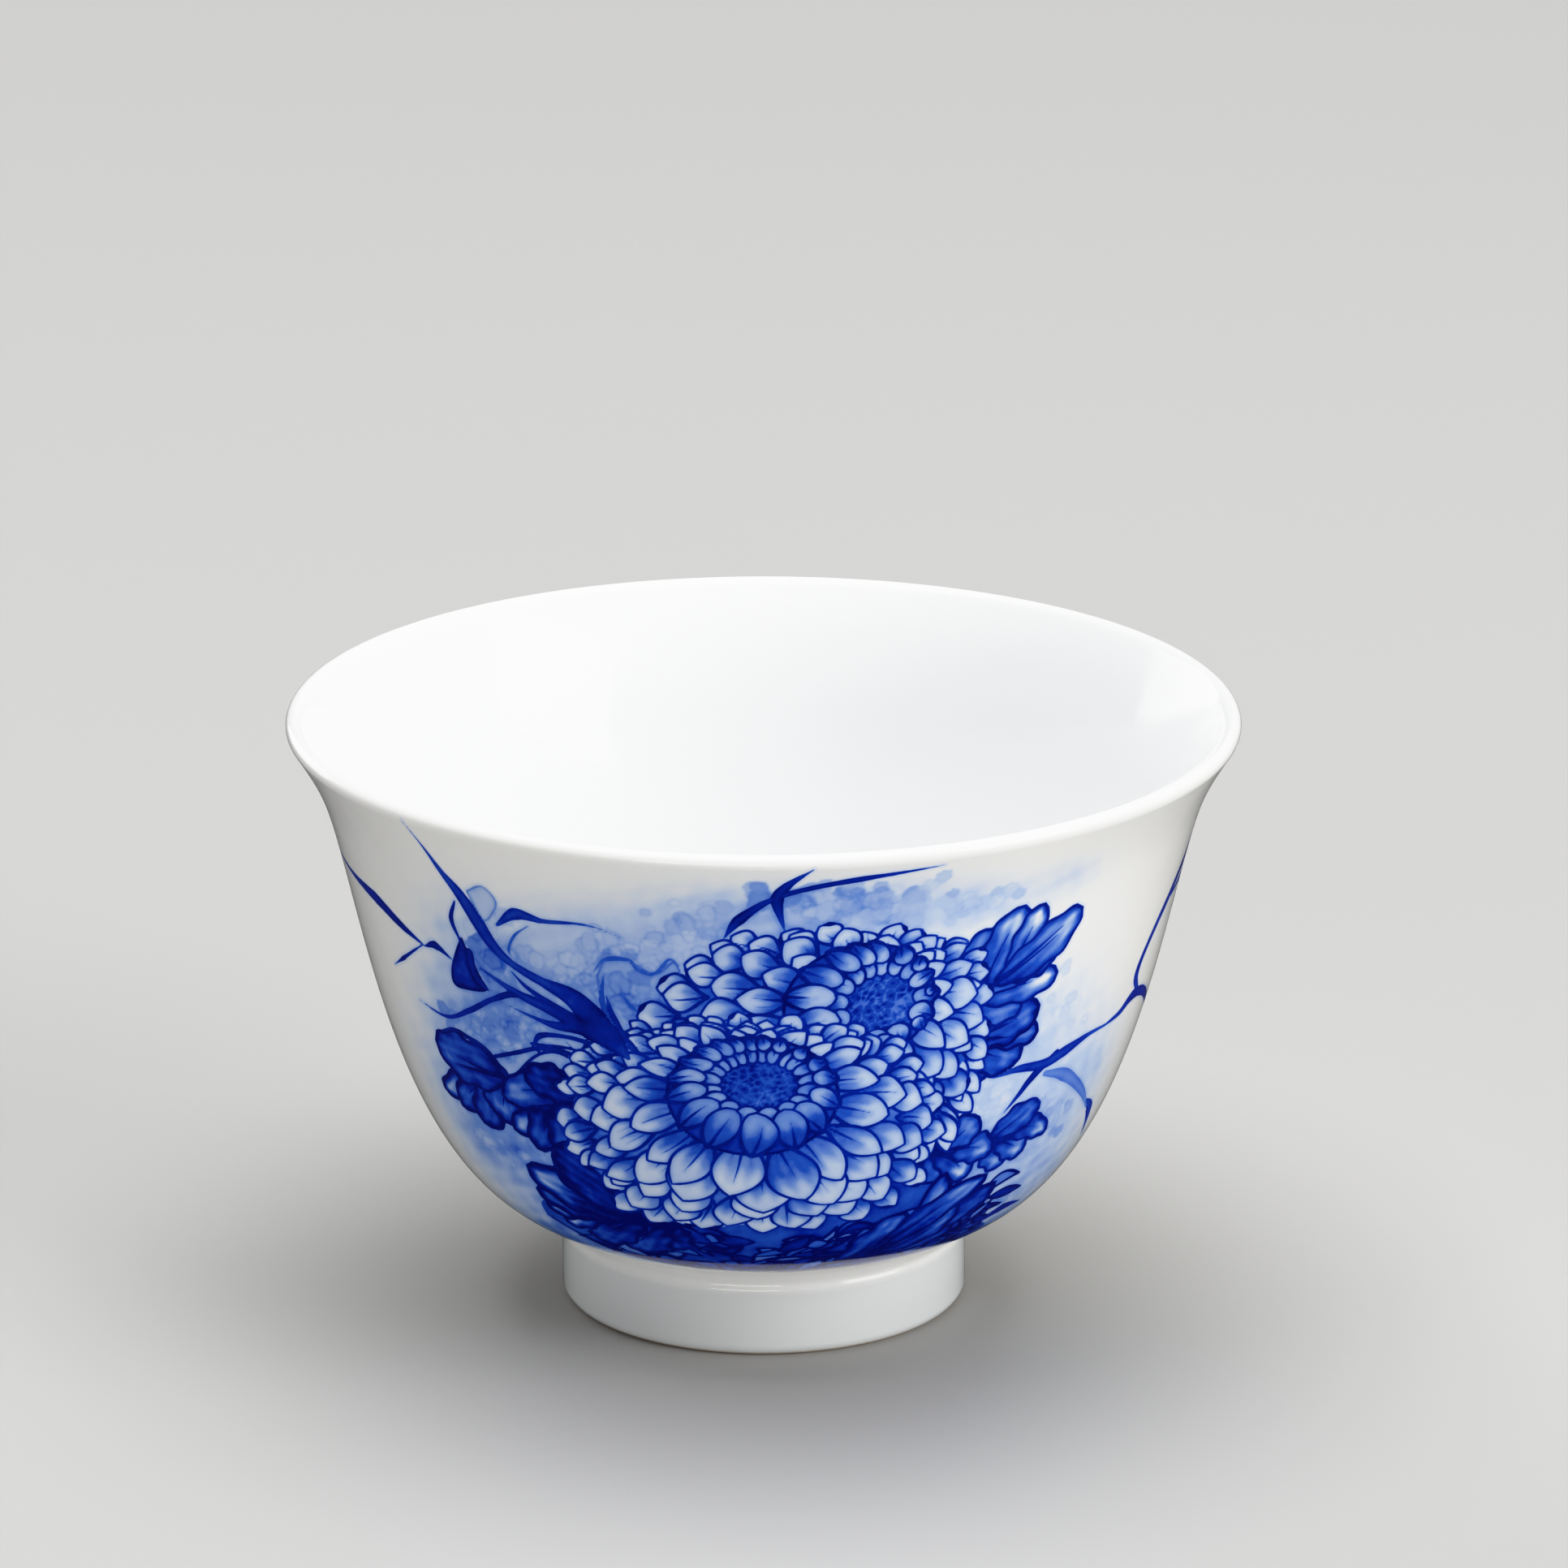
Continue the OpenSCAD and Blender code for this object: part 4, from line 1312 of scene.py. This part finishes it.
class BuildStage(bpy.types.Operator):
    """Build the pale floor, the soft lights and the camera"""

    bl_idname = "tea_cup.stage"
    bl_label = "Stage"

    def execute(self, context):
        stage = context.scene.cup_stage
        material, t, shader = finished("Pale floor", roughness=0.55)
        patches = t.math("MULTIPLY", t.noise(t.place(), 3.0), 0.12)
        t.feed(shader, {"Base Color": t.mix(patches, wet(stage.floor), (0.5, 0.5, 0.49, 1))})
        matt_floor(t, shader, stage)
        reach = np.concatenate([[0.0], np.geomspace(0.05, FLOOR_END, 40)])[::-1]
        floor = ring_piece("pale_floor", np.column_stack([reach, 0 * reach]), 96, material)
        light_room(context.scene, stage)
        for name, light in LIGHTS.items():
            soft_light(name, *light)
        lens = bpy.data.cameras.new("Camera")
        lens.sensor_width = 36
        lens.lens = lens.sensor_width / 2 / math.tan(stage.field / 2)
        lens.clip_start = 0.01
        camera = bpy.data.objects.new("Camera", lens)
        context.scene.collection.objects.link(camera)
        camera.location = (0, -stage.camera_reach, stage.camera_height)
        aim = Vector((stage.aim_side, 0, stage.aim_height))
        camera.rotation_euler = (aim - camera.location).to_track_quat("-Z", "Y").to_euler()
        context.scene.camera = camera
        context.scene.view_settings.view_transform = "Standard"
        soft_highlights(context.scene.view_settings)
        return {"FINISHED"}


# ---------------------------------------------------------------- the add-on


class TeaCupPanel(bpy.types.Panel):
    """Sizes, colours and building steps of the tea cup"""

    bl_idname = "VIEW3D_PT_tea_cup"
    bl_label = "Tea Cup"
    bl_space_type = "VIEW_3D"
    bl_region_type = "UI"
    bl_category = "Tea Cup"

    def draw(self, context):
        for group in (context.scene.cup_sizes, context.scene.cup_colours, context.scene.cup_stage):
            box = self.layout.box()
            for key in group.__annotations__:
                box.prop(group, key)
        for step in STEPS:
            self.layout.operator(step.bl_idname)


STEPS = (BuildPaintedWall, BuildHollow, BuildFoot, FinishBowl, BuildStage)
CLASSES = (CupSizes, CupColours, StageSettings, *STEPS, TeaCupPanel)
GROUPS = {"cup_sizes": CupSizes, "cup_colours": CupColours, "cup_stage": StageSettings}


def register():
    """Makes the classes known to Blender, and gives the scene its settings."""
    for item in CLASSES:
        bpy.utils.register_class(item)
    for key, group in GROUPS.items():
        setattr(bpy.types.Scene, key, bpy.props.PointerProperty(type=group))


def unregister():
    """Takes the settings and the classes away again."""
    for key in GROUPS:
        delattr(bpy.types.Scene, key)
    for item in reversed(CLASSES):
        bpy.utils.unregister_class(item)


def main():
    """Registers the add-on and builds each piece."""
    register()
    for step in STEPS:
        family, action = step.bl_idname.split(".")
        if getattr(getattr(bpy.ops, family), action)() != {"FINISHED"}:
            raise RuntimeError(step.bl_label + " did not finish")


if __name__ == "__main__":
    main()
